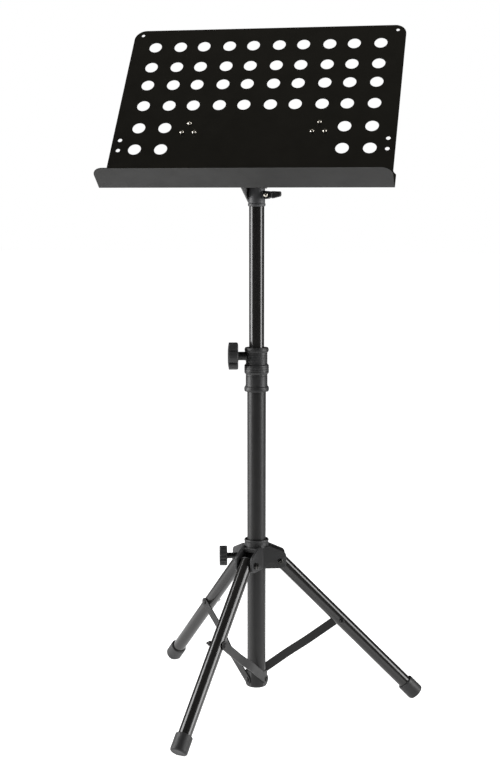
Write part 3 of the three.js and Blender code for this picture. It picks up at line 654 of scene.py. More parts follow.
def collar_profile(low, high):
    """From the lower bead up: plain neck, groove, lined band, ribbed neck and top bead."""
    bore = OUTER_TUBE_R + GAP
    lip = INNER_TUBE_R + GAP
    neck, bead, rim = 18.4, 20.8, 21.0
    outside = [(bore, low), (rim - 1.2, low), *bulge(rim, low + 4.1, 4.1)]
    outside += [(neck + 0.5, low + 8.9), (neck + 0.5, low + 10.4), (neck, low + 11.2)]
    outside += groove(neck, low + 26.3, 0.45, 0.7)
    outside += [(neck, low + 29.2), (bead - 1.6, low + 29.8), (bead - 0.5, low + 31.2), (bead, low + 32.6)]
    for z in (34.4, 38.2, 42):
        outside += groove(bead, low + z, 0.5, 0.6)
    outside += [(bead, low + 43.6), (bead - 0.5, low + 44.9), (bead - 1.6, low + 46), (neck, low + 46.6)]
    for i in range(6):
        outside += groove(neck, low + 49 + 2.7 * i, 0.4, 0.75)
    outside += [(neck, high - 7.9), (rim - 1.9, high - 7.2)] + bulge(rim - 0.5, high - 3.8, 3.4)
    outside += [(rim - 1.6, high - 0.1), (lip + 1.6, high), (lip + 0.9, high - 0.5)]
    outside += [(lip + 0.6, high - 2), (lip, high - 2.6)]
    return outside + [(lip, tube_high.z / MM + GAP), (bore, tube_high.z / MM + GAP)]


def height_collar():
    low, high = (corner.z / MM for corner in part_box("height_collar"))
    end = KNOB_START - GAP
    aim = aimed(HEIGHT_KNOB_Z, KNOB_AZIMUTH)
    root, boss_r = OUTER_TUBE_R + 1, 7.25
    profile = [(0, root), (boss_r + 0.95, root), (boss_r, root + 4), (boss_r, end), (0, end)]
    boss = along_x(turned(rounded(profile, 0.8, 3), 40))
    body = join(turned(collar_profile(low, high), 96), moved(boss, aim))
    bore = rod(OUTER_TUBE_R + GAP, low - 5, tube_high.z / MM + GAP, 0.01, 96)
    holes = [screw_hole(SCREW_R + GAP, 5, 40), screw_hole(INSERT_R + GAP, end - INSERT_DEPTH, 40)]
    return cut(body, bore, *(moved(hole, aim) for hole in holes))


def build_pole():
    piece("outer_tube", outer_tube(), pole)
    piece("inner_tube", inner_tube(), pole)
    piece("inner_tube_bush", inner_tube_bush(), pole)
    piece("height_collar", height_collar(), pole)


# ---- knobs, screws and inserts, drawn outwards from the pole axis ----


def face_dish(face, floor_r, mouth_r, depth, soft):
    """The cutting tool for a round hollow in a knob's outer face."""
    corners = [(0, face - depth), (floor_r, face - depth), (mouth_r, face + 1), (0, face + 1)]
    return turned(rounded(corners, soft, 3), 64)


def star_knob():
    """Six soft lobes, a dished outer face and a ring groove round the screw."""
    body = flat(lobed(24.2, 5, 6), KNOB_START, KNOB_END, edge=2.4, steps=5)
    crown = dome(30, KNOB_END - 6, 6, start=80, step=8)
    body = common(body, turned([(0, KNOB_START - 1), (30, KNOB_START - 1), *crown, (0, KNOB_END)], 64))
    groove_ring = ring(9, 10.4, KNOB_START - 1, KNOB_START + 0.8, 0.3, 64)
    dish = face_dish(KNOB_END, 11.5, 13, 1.4, 0.6)
    return cut(body, dish, groove_ring, rod(SCREW_R + 0.1, KNOB_START - 1, KNOB_END - KNOB_RIM, 0.05))


def fluted_knob():
    """A small knob with fine flutes, a dished face and a neck round its screw."""
    body = flat(lobed(17.2, 1.5, 16, 8, 0.8), SMALL_KNOB_START, SMALL_KNOB_END, edge=1.3, steps=4)
    dish = face_dish(SMALL_KNOB_END, 10, 11, 1, 0.5)
    neck = rod(5, HUB_BOSS_END + 1.2, SMALL_KNOB_START + 2, 0.6)
    return cut(join(body, neck), dish, rod(SCREW_R + 0.1, HUB_BOSS_END, SMALL_KNOB_END - KNOB_RIM, 0.05))


def insert(end):
    """A knurled threaded bush whose outer end is at a distance from the pole axis."""
    ridges, knurl = 48, 0.18
    radii = [INSERT_R - knurl * (i % 2) for i in range(ridges)]
    outline = [(r * math.cos(TAU * i / ridges), r * math.sin(TAU * i / ridges))
               for i, r in enumerate(radii)]
    bore = circle(0, 0, SCREW_R + GAP, 24)
    return flat(outline, end - INSERT_DEPTH + GAP, end, holes=[bore], edge=0.15)


def build_knobs():
    at_collar = above(HEIGHT_KNOB_Z * MM) @ turned_about_z(KNOB_AZIMUTH)
    at_hub = above(HUB_KNOB_Z * MM) @ turned_about_z(KNOB_AZIMUTH)
    piece("collar_insert", along_x(insert(KNOB_START - GAP)), at_collar)
    piece("height_knob", along_x(star_knob()), at_collar)
    collar_screw = threaded(SCREW_R, INNER_TUBE_R + GAP, KNOB_END - KNOB_RIM - GAP, length=20)
    piece("height_knob_screw", along_x(collar_screw), at_collar)
    piece("hub_insert", along_x(insert(HUB_BOSS_END)), at_hub)
    piece("spreader_knob", along_x(fluted_knob()), at_hub)
    hub_screw = threaded(SCREW_R, OUTER_TUBE_R + GAP, SMALL_KNOB_END - KNOB_RIM - GAP, length=26)
    piece("spreader_knob_screw", along_x(hub_screw), at_hub)


# ---- spreader hub ----


def ear_outline(low, top):
    """An ear from its root in the sleeve: flat below, a round lower corner and a soft shoulder."""
    end, corner, shoulder = 50.3, 9.0, 8.0
    outer = arc(end - corner, low + corner, corner, -90, 0, 14)
    outer += arc(end - shoulder, low + 21.5, shoulder, 0, 65, 10)
    return [(9, low), *outer, (21, top - 10.5), (9, top - 10.5)]


def hub_sleeve(low, high):
    bore = OUTER_TUBE_R + GAP
    neck, rim = 20.0, 21.0
    return turned([
        (bore - 1, low), (neck - 1, low), (neck - 0.3, low + 0.3), (neck, low + 1),
        (neck - 0.2, high - 15.4), (neck - 0.2, high - 14.4),
        (rim - 0.6, high - 13.9), (rim - 0.1, high - 13.3), (rim, high - 12.4),
        (rim - 0.5, high - 5), (rim - 0.4, high - 3.4), (rim, high - 2.6), (rim, high - 1.4),
        (rim - 0.4, high - 0.5), (rim - 1.1, high), (rim - 1.9, high - 0.1), (rim - 2.6, high - 0.7),
        (bore + 1.2, high - 3.6), (bore + 0.9, high - 5), (bore + 0.9, high - 9), (bore, high - 9.4),
        (bore - 1, high - 9.4),
    ], 96)


def hub_web(high):
    """The bridge between a pair of ears, under the hub's ring."""
    root, reach, under, over = 15.0, 25.5, high - 20, high - 12.6
    outline = [(root, under), (reach - 1.5, under), (reach, under + 1.5)]
    outline += [(reach, over - 1), (reach - 0.9, over), (root, over)]
    return standing(outline, -EAR_INNER - 1, EAR_INNER + 1, edge=0.3)


def spreader_hub():
    low, high = (corner.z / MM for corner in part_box("spreader_hub"))
    body = hub_sleeve(low, high)
    holes = [rod(OUTER_TUBE_R + GAP, low - 5, high + 5, 0.01, 96)]
    for azimuth in LEGS.values():
        turn = turned_about_z(azimuth)
        for side in (EAR_INNER, -EAR_OUTER):
            ear = standing(ear_outline(low, high), side, side + EAR_OUTER - EAR_INNER, edge=1.1, steps=3)
            body = join(body, moved(ear, turn))
        body = join(body, moved(hub_web(high), turn))
        pivot = Matrix.Translation((LEG_PIVOT_R, 0, LEG_PIVOT_Z))
        holes.append(moved(bolt_hole_across(30), turn @ pivot))
    aim = aimed(HUB_KNOB_Z, KNOB_AZIMUTH)
    root, boss_r = OUTER_TUBE_R + 1, 8.25
    profile = [(0, root), (boss_r, root), (boss_r, HUB_BOSS_END), (0, HUB_BOSS_END)]
    boss = along_x(turned(rounded(profile, 1.0, 3), 40))
    body = join(body, moved(boss, aim))
    holes.append(moved(screw_hole(SCREW_R + GAP, 5, 40), aim))
    holes.append(moved(screw_hole(INSERT_R + GAP, HUB_BOSS_END - INSERT_DEPTH, 40), aim))
    return cut(body, *holes)


# ---- legs and braces, drawn in the leg's plane with X away from the pole ----

LEG_TOP = 7.0
LEG_LENGTH = 343.2
FOOT_R = 14.6
FOOT_END = 346.2
FOOT_EDGE = 3.6
FOOT_LENGTH = 30.0

pin_x = LEG_PIVOT_R + BRACE_ON_LEG * math.sin(leg_spread)
pin_z = LEG_PIVOT_Z - BRACE_ON_LEG * math.cos(leg_spread)
brace_rise = math.atan2(pin_z - BRACE_PIVOT_Z, pin_x)
brace_length = math.hypot(pin_x, pin_z - BRACE_PIVOT_Z)
pivot_in_plane = Matrix.Translation((LEG_PIVOT_R, 0, LEG_PIVOT_Z))
leg_in_plane = pivot_in_plane @ Matrix.Rotation(-leg_spread, 4, "Y")
brace_in_plane = Matrix.Translation((0, 0, BRACE_PIVOT_Z)) @ Matrix.Rotation(-brace_rise, 4, "Y")
pin_in_leg = Matrix.Translation((0, 0, -BRACE_ON_LEG)) @ AGAINST_Y


def leg_tube():
    tube = ring(LEG_R - TUBE_WALL, LEG_R, -LEG_LENGTH, LEG_TOP, 0.4, 72)
    pin_hole = moved(rod(RIVET_R + GAP, -20, 20, 0.01), pin_in_leg)
    return cut(tube, bolt_hole_across(20), pin_hole)


def leg_plug():
    """A cap with a spigot in the tube and a low dome over its end."""
    spigot = LEG_R - TUBE_WALL - GAP
    inside = [(0, LEG_TOP - 3.4), (spigot - 0.4, LEG_TOP - 3.4), (spigot, LEG_TOP - 3)]
    seat = [(spigot, LEG_TOP + GAP), (LEG_R - 0.2, LEG_TOP + GAP)]
    return turned([*inside, *seat, *dome(LEG_R, LEG_TOP + 0.9, 2.3), (0, LEG_TOP + 3.2)], 72)


def foot():
    """A rubber cap with a rounded end, cut flat where it meets the floor."""
    end = rolled_edge(FOOT_R, -FOOT_END, FOOT_EDGE, 10)
    mouth = -FOOT_END + FOOT_LENGTH
    wall = [(FOOT_R, mouth - 1.6), (FOOT_R - 0.4, mouth - 0.5), (FOOT_R - 1.2, mouth), (LEG_R + GAP, mouth)]
    bottom = -LEG_LENGTH - GAP
    cap = turned([(0, -FOOT_END), *end, *wall, (LEG_R + GAP, bottom), (0, bottom)], 72)
    floor = moved(block((0, -60, -60), (600, 60, 0)), leg_in_plane.inverted())
    return cut(cap, floor)


def brace():
    """A flat strip that jogs in from the bracket's side to the leg's."""
    half = BRACE_WIDTH / 2
    outline = arc(brace_length, 0, half, -90, 90, 20) + arc(0, 0, half, 90, 270, 20)
    holes = [circle(0, 0, RIVET_R + GAP, 24), circle(brace_length, 0, RIVET_R + GAP, 24)]
    outer_face = BRACE_BASE_OFFSET + BRACE_THICKNESS
    strip = standing(outline, BRACE_BASE_OFFSET, outer_face, holes=holes, edge=0.55, steps=3)
    start, end = 60.0, 120.0
    sliced(strip, 0, [start + (end - start) * i / 16 for i in range(17)])

    def jog(point):
        along = min(max((point.x - start) / (end - start), 0), 1)
        point.y += (BRACE_LEG_OFFSET - BRACE_BASE_OFFSET) * along * along * (3 - 2 * along)
        return point

    return reshaped(strip, jog)


def rivet_dome(face):
    return dome(RIVET_HEAD_R, face + 0.5, RIVET_HEAD - 0.5)


def brace_rivet():
    """A short shank by the leg and a low domed head on the brace."""
    inner, face = LEG_R + GAP, BRACE_LEG_OFFSET + BRACE_THICKNESS + GAP
    shank = [(0, inner), (RIVET_R - 0.2, inner), (RIVET_R, inner + 0.2), (RIVET_R, face)]
    head = [(RIVET_HEAD_R - 0.15, face), *rivet_dome(face), (0, face + RIVET_HEAD)]
    return turned(shank + head, 48)


def brace_pin():
    """A pin through the leg that ends in a dome nut."""
    seat = LEG_R + 0.5
    washer = [(RIVET_R, -LEG_R + 0.2), (RIVET_R, seat), (4.6, seat), (4.6, seat + 0.9), (4.2, seat + 1.0)]
    nut = [(4.2, LEG_R + 3.6), (3.9, LEG_R + 4.4), (2.9, LEG_R + 5.2), (2.5, LEG_R + 5.8)]
    tip = [(2.5, LEG_R + 7.4), (2.1, LEG_R + 8.1), (1.2, LEG_R + 8.4), (0, LEG_R + 8.45)]
    return turned([(0, -LEG_R + 0.2), *washer, *nut, *tip], 48)


def base_rivet():
    """A domed head on the brace and a clenched tail inside the pole."""
    outer = BRACE_BASE_OFFSET + BRACE_THICKNESS + GAP
    tail = OUTER_TUBE_R - TUBE_WALL - 1.2
    clenched = [(0, tail - 1.6), (3.4, tail - 1.5), (4, tail - 0.4), (4, tail), (RIVET_R, tail)]
    head = [(RIVET_HEAD_R - 0.1, outer), *rivet_dome(outer), (0, outer + RIVET_HEAD)]
    return turned([*clenched, (RIVET_R, outer), *head], 48)


def leg_bolt():
    """A domed socket head outside the ear and a threaded end through the nut."""
    seat = EAR_OUTER + GAP
    rise = 2.3
    top = seat + 0.9 + rise * math.cos(math.radians(10))
    head = turned([(0, seat), (4.6, seat), *dome(4.8, seat + 0.9, rise, end=10), (0, top)], 48)
    socket = flat(circle(0, 0, 2.2, 6), seat + 1.4, seat + 6, edge=0.05)
    return cut(join(head, threaded(BOLT_R, -EAR_OUTER - 7.5, seat + 0.5)), socket)


def build_legs():
    nut = nut_beyond(EAR_OUTER)
    in_leg = {"leg_tube": leg_tube(), "leg_plug": leg_plug(), "foot": foot()}
    in_leg["brace_pin"] = moved(brace_pin(), pin_in_leg)
    in_pivot = {"leg_bolt": moved(leg_bolt(), AGAINST_Y), "leg_nut": moved(nut, ALONG_Y)}
    in_brace = {"brace": brace(), "base_rivet": moved(base_rivet(), ALONG_Y)}
    in_brace["brace_rivet"] = moved(brace_rivet(), Matrix.Translation((brace_length, 0, 0)) @ ALONG_Y)
    groups = ((in_leg, leg_in_plane), (in_pivot, pivot_in_plane), (in_brace, brace_in_plane))
    for name, azimuth in LEGS.items():
        plane = pole @ turned_about_z(azimuth)
        for meshes, axes in groups:
            for kind, mesh in meshes.items():
                piece(f"{kind}_{name}", mesh.copy(), plane @ axes)


def base_bracket():
    """A cup round the foot of the pole, flattened where each brace lies on it."""
    low, high = (corner.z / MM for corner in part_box("base_bracket"))
    radius, side = 18.9, 17.0
    bore = OUTER_TUBE_R + GAP
    floor = tube_low.z / MM - GAP
    outside = [(0, low), *rolled_edge(radius, low, 5, 9), (radius, high - 0.5), (radius - 0.5, high)]
    cup = turned([*outside, (bore, high), (bore, floor), (0, floor)], 96)
    tools = []
    for azimuth in LEGS.values():
        turn = turned_about_z(azimuth)
        tools.append(moved(block((-30, side, low - 5), (30, 40, high + 5)), turn))
        rivet_line = turn @ Matrix.Translation((0, 0, BRACE_PIVOT_Z)) @ ALONG_Y
        tools.append(moved(rod(RIVET_R + GAP, 5, 30, 0.01), rivet_line))
    return soften(cut(cup, *tools), 0.4, 2, 25)


# ---- head: sleeve, yoke, clamp and tilt hinge ----

SLEEVE_R = 14.0
SLEEVE_BORE = 13.0
CAP_DEPTH = 5.0
SLIT = 2.4
CLAMP_FRONT = -10.4
CLAMP_BACK = 8.0
LEVER_FRONT = -17.5
BELOW_YOKE = 850.0
LEFT_CHEEK = {"rear_y": 8, "rear_z": 865, "nose_z": 891}
RIGHT_CHEEK = {"rear_y": 4, "rear_z": CLAMP_Z + 10.5, "nose_z": 894}


def head_sleeve():
    """A sleeve with a rolled lower bead and a split block that the clamp bolt closes."""
    low, high = (corner.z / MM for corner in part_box("head_sleeve"))
    bore = SLEEVE_BORE - 0.5
    sleeve = turned([(bore, low), (13.2, low), *bulge(14.8, low + 2.9, 2.8), (SLEEVE_R, low + 6.1),
                     (SLEEVE_R, high - 0.3), (SLEEVE_R - 0.3, high), (bore, high)], 96)
    lug_r = 6.5
    lug = [(11, CLAMP_Z - lug_r), *arc(CLAMP_X, CLAMP_Z, lug_r, -90, 90, 24), (11, CLAMP_Z + lug_r)]
    lug_block = standing(lug, CLAMP_FRONT, CLAMP_BACK, edge=0.9, steps=3)
    bore_tool = rod(SLEEVE_BORE, low - 5, high + 5, 0.01, 96)
    slit = block((5, -SLIT / 2, low - 5), (40, SLIT / 2, CLAMP_Z + 10))
    bolt_hole = moved(bolt_hole_across(30), Matrix.Translation((CLAMP_X, 0, CLAMP_Z)))
    return cut(join(sleeve, lug_block), bore_tool, slit, bolt_hole)


def sleeve_cap():
    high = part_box("head_sleeve")[1].z / MM
    inner = SLEEVE_BORE - GAP
    low = high - CAP_DEPTH
    spigot = [(0, low), (inner - 0.5, low), (inner, low + 0.5), (inner, high + GAP)]
    side = [(SLEEVE_R, high + GAP), (SLEEVE_R, high + 1), (SLEEVE_R - 0.5, high + 2)]
    return turned([*spigot, *side, (SLEEVE_R - 2, high + 2.7), (0, high + 3.2)], 72)


def cheek_outline(top, rear_y, rear_z, nose_z):
    """A cheek seen from its side, from the sleeve's back up and forward to the nose round the tilt bolt."""
    back = CHEEK_INNER + SHEET
    nose = arc(TILT_Y, TILT_Z, 13, 80, 190, 16)
    return [(rear_y, rear_z), (back + 2, rear_z + 5), (back + 2, top), *nose, (TILT_Y - 12, nose_z)]


def head_yoke():
    """A channel bent from sheet: two cheeks that reach forward to the tilt bolt, and a web at the back."""
    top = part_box("head_yoke")[1].z / MM
    inside, outside = CHEEK_INNER, CHEEK_INNER + SHEET
    bend, front = 12.9, TILT_Y - 20
    outer = arc(bend, bend, outside - bend, 0, 90) + arc(-bend, bend, outside - bend, 90, 180)
    inner = arc(-bend, bend, inside - bend, 180, 90) + arc(bend, bend, inside - bend, 90, 0)
    plan = [(outside, front), *outer, (-outside, front), (-inside, front), *inner, (inside, front)]
    channel = flat(plan, BELOW_YOKE, top + 10, edge=0.01, steps=1)
    left = along_x(flat(cheek_outline(top, **LEFT_CHEEK), -20, 0, edge=0.01, steps=1))
    right = along_x(flat(cheek_outline(top, **RIGHT_CHEEK), -1, 20, edge=0.01, steps=1))
    body = common(channel, join(left, right))
    notch = block((-inside + 0.2, 5, BELOW_YOKE), (inside - 0.2, 20, CLAMP_Z + 16))
    rear = block((-outside - 1, bend, BELOW_YOKE), (outside + 1, 20, CLAMP_Z + 14))
    hole = along_x(moved(rod(BOLT_R + GAP, -30, 30, 0.01), Matrix.Translation((TILT_Y, TILT_Z, 0))))
    return soften(cut(body, notch, rear, hole), 0.4, 2, 40)


def clamp_lever():
    boss = arc(0, 0, 6.8, 65, 320, 28)
    outline = [*boss, (9, -4), (20, -1.4), (20, 3.4), (9, 4.4), (8.8, 6)]
    hole = circle(0, 0, BOLT_R + GAP, 24)
    lever = standing(outline, LEVER_FRONT, CLAMP_FRONT - GAP, holes=[hole], edge=0.7, steps=3)
    counterbore = moved(ring(3.5, 5.0, LEVER_FRONT - 1, LEVER_FRONT + 0.7, 0.2, 48), ALONG_Y)
    return cut(lever, counterbore)


def clamp_grip():
    """A tapered moulded grip pushed over the lever's end."""
    corners = [(9.6, -6.2), (24.4, -2.6), (25.5, 0.4), (25.2, 4.4), (24, 5.8), (9.6, 6.3)]
    front, back = LEVER_FRONT - 1.6, CLAMP_FRONT - GAP + 0.6
    grip = standing(rounded_loop(corners, 1.4, 4), front, back, edge=1.5, steps=4)
    socket = [(8, -4.4), (9, -4.3), (20.4, -1.8), (20.4, 3.8), (9, 4.7), (8, 4.8)]
    return cut(grip, standing(socket, LEVER_FRONT - GAP, CLAMP_FRONT + 5, edge=0.01, steps=1))


def clamp_bolt():
    """A domed socket head in front of the lever, and a thread that ends behind the clamp nut."""
    seat = LEVER_FRONT - GAP
    crown = [(0, seat - 2.8), (1.5, seat - 2.75), (2.6, seat - 2.4), (3.3, seat - 1.6), (3.4, seat - 1)]
    head = turned([*crown, (3.4, seat), (0, seat)], 48)
    socket = flat(circle(0, 0, 1.5, 6), seat - 5, seat - 1.4, edge=0.05)
    end = CLAMP_BACK + 6.5
    shank = moved(threaded(BOLT_R, -end, -seat + 0.5), Matrix.Rotation(math.pi, 4, "X"))
    return cut(join(head, shank), socket)


def build_clamp():
    clamp = above(CLAMP_Z * MM) @ Matrix.Translation((CLAMP_X, 0, 0))
    piece("clamp_lever", clamp_lever(), clamp)
    piece("clamp_grip", clamp_grip(), clamp)
    piece("clamp_bolt", moved(clamp_bolt(), ALONG_Y), clamp)
    nut = nut_beyond(CLAMP_BACK)
    piece("clamp_nut", moved(nut, ALONG_Y), clamp)


def build_tilt():
    hinge = above(TILT_Z * MM) @ Matrix.Translation((0, TILT_Y, 0))
    washer_start = CHEEK_INNER + SHEET + GAP
    washer_end = washer_start + WASHER
    ear_face = washer_end + GAP + SHEET
    for side, turn in (("right", 0), ("left", 180)):
        washer = ring(BOLT_R + GAP, 9, washer_start, washer_end, 0.2, 48)
        piece(f"tilt_washer_{side}", moved(along_x(washer), turned_about_z(turn)), hinge)
    spacer_end = CHEEK_INNER - GAP
    piece("tilt_spacer", along_x(ring(BOLT_R + GAP, 6, -spacer_end, spacer_end, 0.4, 48)), hinge)
    head = ear_face + GAP
    bolt = hex_bolt(11.6, (head, head + 4), (-ear_face - 7, head + 0.5))
    piece("tilt_bolt", moved(along_x(bolt), turned_about_z(180)), hinge)
    nut = nut_beyond(ear_face)
    piece("tilt_nut", along_x(nut), hinge)


def build_head():
    piece("head_sleeve", head_sleeve(), pole)
    piece("sleeve_cap", sleeve_cap(), pole)
    piece("head_yoke", head_yoke(), pole)
    build_clamp()
    build_tilt()


# ---- desk: x across, y up the plate from the fold, z forward ----

BEND_LENGTH = (BEND_R + DESK_SHEET / 2) * math.pi / 2
BEND_START = BEND_R
BEND_END = BEND_R - BEND_LENGTH
SHEET_LOW = BEND_END - (SHELF_DEPTH - BEND_R)


def desk_outline():
    """The sheet before it is bent, from the shelf's free edge to the top of the plate."""
    side, wide = DESK_WIDTH / 2, SHELF_WIDTH / 2
    corner, shelf_corner = 20.0, 18.0
    half = arc(wide - shelf_corner, SHEET_LOW + shelf_corner, shelf_corner, -90, 0, 16)
    half += arc(wide - 3, SHOULDER - 3, 3, 0, 60, 6)
    half += [(side + 0.6, SHOULDER + 3.4), (side, SHOULDER + 6)]
    half += arc(side - corner, DESK_HEIGHT - corner, corner, 0, 90, 20)
    return half + [(-x, y) for x, y in reversed(half)]


def rivet_holes(side):
    return [circle(side * x, y, DESK_RIVET_HOLE_R, 20) for x, y in DESK_RIVETS.values()]


def desk_holes():
    """The field of large holes, empty round the bracket, and the small holes at the corners and sides."""
    holes = []
    for row, y in enumerate(HOLE_ROWS):
        for column, x in enumerate(HOLE_COLUMNS):
            if row >= LOW_ROWS or column >= FIRST_LOW_COLUMN:
                holes += [circle(x, y, HOLE_R, 48), circle(-x, y, HOLE_R, 48)]
    for side in (-1, 1):
        holes.append(circle(side * CORNER_HOLE_X, DESK_HEIGHT - CORNER_HOLE_DROP, CORNER_HOLE_R, 24))
        holes += [circle(side * SIDE_HOLE_X, y, SIDE_HOLE_R, 24) for y in SIDE_HOLE_ROWS]
        holes += rivet_holes(side)
    return holes


def fold_sheet(point):
    """Takes a point of the flat sheet to its place on the folded desk."""
    if point.y >= BEND_START:
        return point
    reach = BEND_R - point.z
    if point.y >= BEND_END:
        angle = (BEND_START - point.y) / BEND_LENGTH * math.pi / 2
        return Vector((point.x, BEND_R - reach * math.sin(angle), BEND_R - reach * math.cos(angle)))
    return Vector((point.x, BEND_R - reach, BEND_R + BEND_END - point.y))


def desk_plate():
    sheet = flat(desk_outline(), -DESK_SHEET, 0, holes=desk_holes(), edge=0.4, steps=3)
    sliced(sheet, 1, [BEND_START - BEND_LENGTH * i / 8 for i in range(9)])
    return reshaped(sheet, fold_sheet)


def strap():
    """A middle pad, two arms and a riveted triangle at each end."""
    arm = [(22, 46), (24, 104), (92, 106)]
    triangle = [(122, 106), (128, 112), (127, 120), (114, 139), (104, 139), (94, 128)]
    half = [*arm, *triangle, (26, 126), (22, 150)]
    outline = rounded_loop(half + [(-x, y) for x, y in reversed(half)], 4, 4)
    holes = rivet_holes(-1) + rivet_holes(1)
    return flat(outline, BRACKET_BACK, BRACKET_BACK + SHEET, holes=holes, edge=0.45, steps=3)


def bracket_ear(low, high):
    """An ear from the strap back to the tilt bolt."""
    pivot_y, pivot_z, radius = 65.0, -27.0, 12.0
    end = arc(pivot_y, pivot_z, radius, 175, 310, 20)
    hole = circle(pivot_y, pivot_z, BOLT_R + GAP, 24)
    outline = [(48, BRACKET_BACK + 1), *end, (128, BRACKET_BACK - 4), (140, BRACKET_BACK + 1)]
    return along_x(flat(outline, low, high, holes=[hole], edge=0.4, steps=3))


def desk_bracket():
    inner = CHEEK_INNER + SHEET + GAP + WASHER + GAP
    return join(strap(), bracket_ear(inner, inner + SHEET), bracket_ear(-inner - SHEET, -inner))


def desk_rivet():
    """A semi-tubular rivet: rolled rim with a dimple in front, clenched tail behind the strap."""
    back = BRACKET_BACK - GAP
    tail = [(0, back - 1.2), (1.6, back - 1.2), (2.5, back - 0.9), (2.8, back - 0.3), (2.8, back)]
    side = [(1.6, back), (1.6, GAP), (3.4, GAP), (3.6, 0.6), (3.6, 1.1), (3.4, 1.7), (3.0, 2.25)]
    rim = [(2.4, 2.65), (1.9, 2.8), (1.5, 2.65), (1.3, 2.2), (1.2, 1.7)]
    return turned([*tail, *side, *rim, (0.8, 1.4), (0, 1.3)], 48)


def build_desk():
    piece("desk_plate", desk_plate(), desk_axes)
    piece("desk_bracket", desk_bracket(), desk_axes)
    rivet = desk_rivet()
    for side_name, side in (("left", -1), ("right", 1)):
        for place, (x, y) in DESK_RIVETS.items():
            place_on_desk = desk_axes @ Matrix.Translation((side * x, y, 0))
            piece(f"desk_rivet_{place}_{side_name}", rivet.copy(), place_on_desk)


# ---- camera, stage and light ----

CAMERA_SIDE = math.radians(11.5)
CAMERA_DISTANCE = 2.384
CAMERA_HEIGHT = 0.8732
CAMERA_PITCH = math.radians(7.70)
CAMERA_YAW = math.radians(0.27)
LENS = 65.43
FLOOR_BRIGHT = 0.4
FLOOR_DARK = 1.5
FLOOR_GLOW = 0.88
FLOOR_DIM = 0.04
LIGHTS_AIM_AT = 0.75


def add_camera():
    data = bpy.data.cameras.new("camera")
    data.lens = LENS
    data.sensor_width = 36
    data.clip_start = 0.05
    camera = new_object("camera", data)
    camera.location = (
        pole_x + math.sin(CAMERA_SIDE) * CAMERA_DISTANCE,
        pole_y - math.cos(CAMERA_SIDE) * CAMERA_DISTANCE,
        CAMERA_HEIGHT,
    )
    camera.rotation_euler = (math.pi / 2 - CAMERA_PITCH, 0, CAMERA_SIDE + CAMERA_YAW)
    bpy.context.scene.camera = camera


def add_floor():
    """A white floor. What it throws back on the stand comes mostly from the part round its feet."""
    mesh = bpy.data.meshes.new("floor")
    size = 20.0
    corners = [(-size, -size, 0), (size, -size, 0), (size, size, 0), (-size, size, 0)]
    mesh.from_pydata(corners, [], [(0, 1, 2, 3)])
    floor = new_object("floor", mesh)
    mat = bpy.data.materials.new("pale floor")
    mat.use_nodes = True
    tree = mat.node_tree
    shader = tree.nodes["Principled BSDF"]
    shader.inputs["Base Color"].default_value = (0.6, 0.6, 0.6, 1)
    shader.inputs["Roughness"].default_value = 0.9
    shader.inputs["Emission Color"].default_value = (1, 1, 1, 1)
    place = add_node(tree, "ShaderNodeTexCoord").outputs["Object"]
    away = add_node(tree, "ShaderNodeVectorMath", operation="LENGTH")
    tree.links.new(place, away.inputs[0])
    fade = add_node(tree, "ShaderNodeMapRange", interpolation_type="SMOOTHSTEP")
    fade.inputs["From Min"].default_value = FLOOR_BRIGHT
    fade.inputs["From Max"].default_value = FLOOR_DARK
    fade.inputs["To Min"].default_value = FLOOR_GLOW
    fade.inputs["To Max"].default_value = FLOOR_DIM
    tree.links.new(away.outputs["Value"], fade.inputs["Value"])
    seen = add_node(tree, "ShaderNodeLightPath").outputs["Is Camera Ray"]
    strength = add_node(tree, "ShaderNodeMath", operation="MAXIMUM")
    tree.links.new(fade.outputs["Result"], strength.inputs[0])
    tree.links.new(seen, strength.inputs[1])
    tree.links.new(strength.outputs[0], shader.inputs["Emission Strength"])
    mesh.materials.append(mat)


def add_area_light(name, place, size, watts):
    data = bpy.data.lights.new(name, "AREA")
    data.size = size
    data.energy = watts
    light = new_object(name, data)
    light.location = place
    light.visible_camera = False
    return light


def add_softbox(side_degrees, distance, height, width, tall, watts):
    """A tall soft light that faces the pole, at an angle from the camera's direction."""
    angle = -math.pi / 2 + CAMERA_SIDE + math.radians(side_degrees)
    place = (pole_x + math.cos(angle) * distance, pole_y + math.sin(angle) * distance, height)
    light = add_area_light("softbox", place, width, watts)
    light.data.shape = "RECTANGLE"
    light.data.size_y = tall
    centre = Vector((pole_x, pole_y, LIGHTS_AIM_AT))
    light.rotation_euler = (centre - light.location).to_track_quat("-Z", "Y").to_euler()
    return light


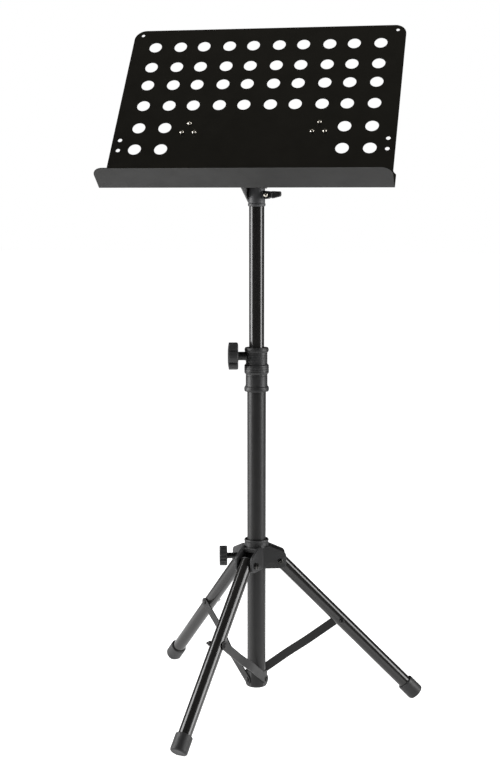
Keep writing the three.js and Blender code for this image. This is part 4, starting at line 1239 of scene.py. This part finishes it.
def light_sheet_apart(sheet, side_lights):
    """The sheet would turn white in the tall lights at a glancing angle, so it has its own from above."""
    apart = bpy.data.collections.new("lit apart")
    apart.objects.link(sheet)
    apart.collection_objects[0].light_linking.link_state = "EXCLUDE"
    for light in side_lights:
        light.light_linking.receiver_collection = apart
    own = bpy.data.collections.new("lit from above")
    own.objects.link(sheet)
    overhead = add_area_light("overhead", (pole_x, pole_y - 0.3, 3.2), 3.5, 9)
    overhead.data.color = (1, 0.93, 0.76)
    overhead.light_linking.receiver_collection = own


def light_world():
    """White behind the stand as the camera sees it, and a dim room round it, darker above."""
    world = bpy.data.worlds.new("studio")
    bpy.context.scene.world = world
    world.use_nodes = True
    tree = world.node_tree
    background = tree.nodes["Background"]
    direction = add_node(tree, "ShaderNodeTexCoord").outputs["Generated"]
    split = add_node(tree, "ShaderNodeSeparateXYZ")
    tree.links.new(direction, split.inputs[0])
    height = add_node(tree, "ShaderNodeMapRange")
    height.inputs["From Min"].default_value = 0.15
    height.inputs["From Max"].default_value = 0.7
    height.inputs["To Min"].default_value = 0.05
    height.inputs["To Max"].default_value = 0.03
    tree.links.new(split.outputs["Z"], height.inputs["Value"])
    seen = add_node(tree, "ShaderNodeLightPath").outputs["Is Camera Ray"]
    strength = add_node(tree, "ShaderNodeMath", operation="MAXIMUM")
    tree.links.new(seen, strength.inputs[0])
    tree.links.new(height.outputs["Result"], strength.inputs[1])
    tree.links.new(strength.outputs[0], background.inputs["Strength"])
    background.inputs["Color"].default_value = (1, 1, 1, 1)


add_camera()
add_floor()
light_world()
side_lights = [
    add_softbox(side_degrees=-87, distance=2.0, height=1.1, width=1.2, tall=2.4, watts=84),
    add_softbox(side_degrees=76, distance=2.0, height=1.05, width=0.9, tall=2.2, watts=52),
]
bpy.context.scene.view_settings.view_transform = "Standard"

build_pole()
build_knobs()
piece("spreader_hub", spreader_hub(), pole)
build_legs()
piece("base_bracket", base_bracket(), pole)
build_head()
build_desk()
light_sheet_apart(bpy.data.objects["desk_plate_fine"], side_lights)
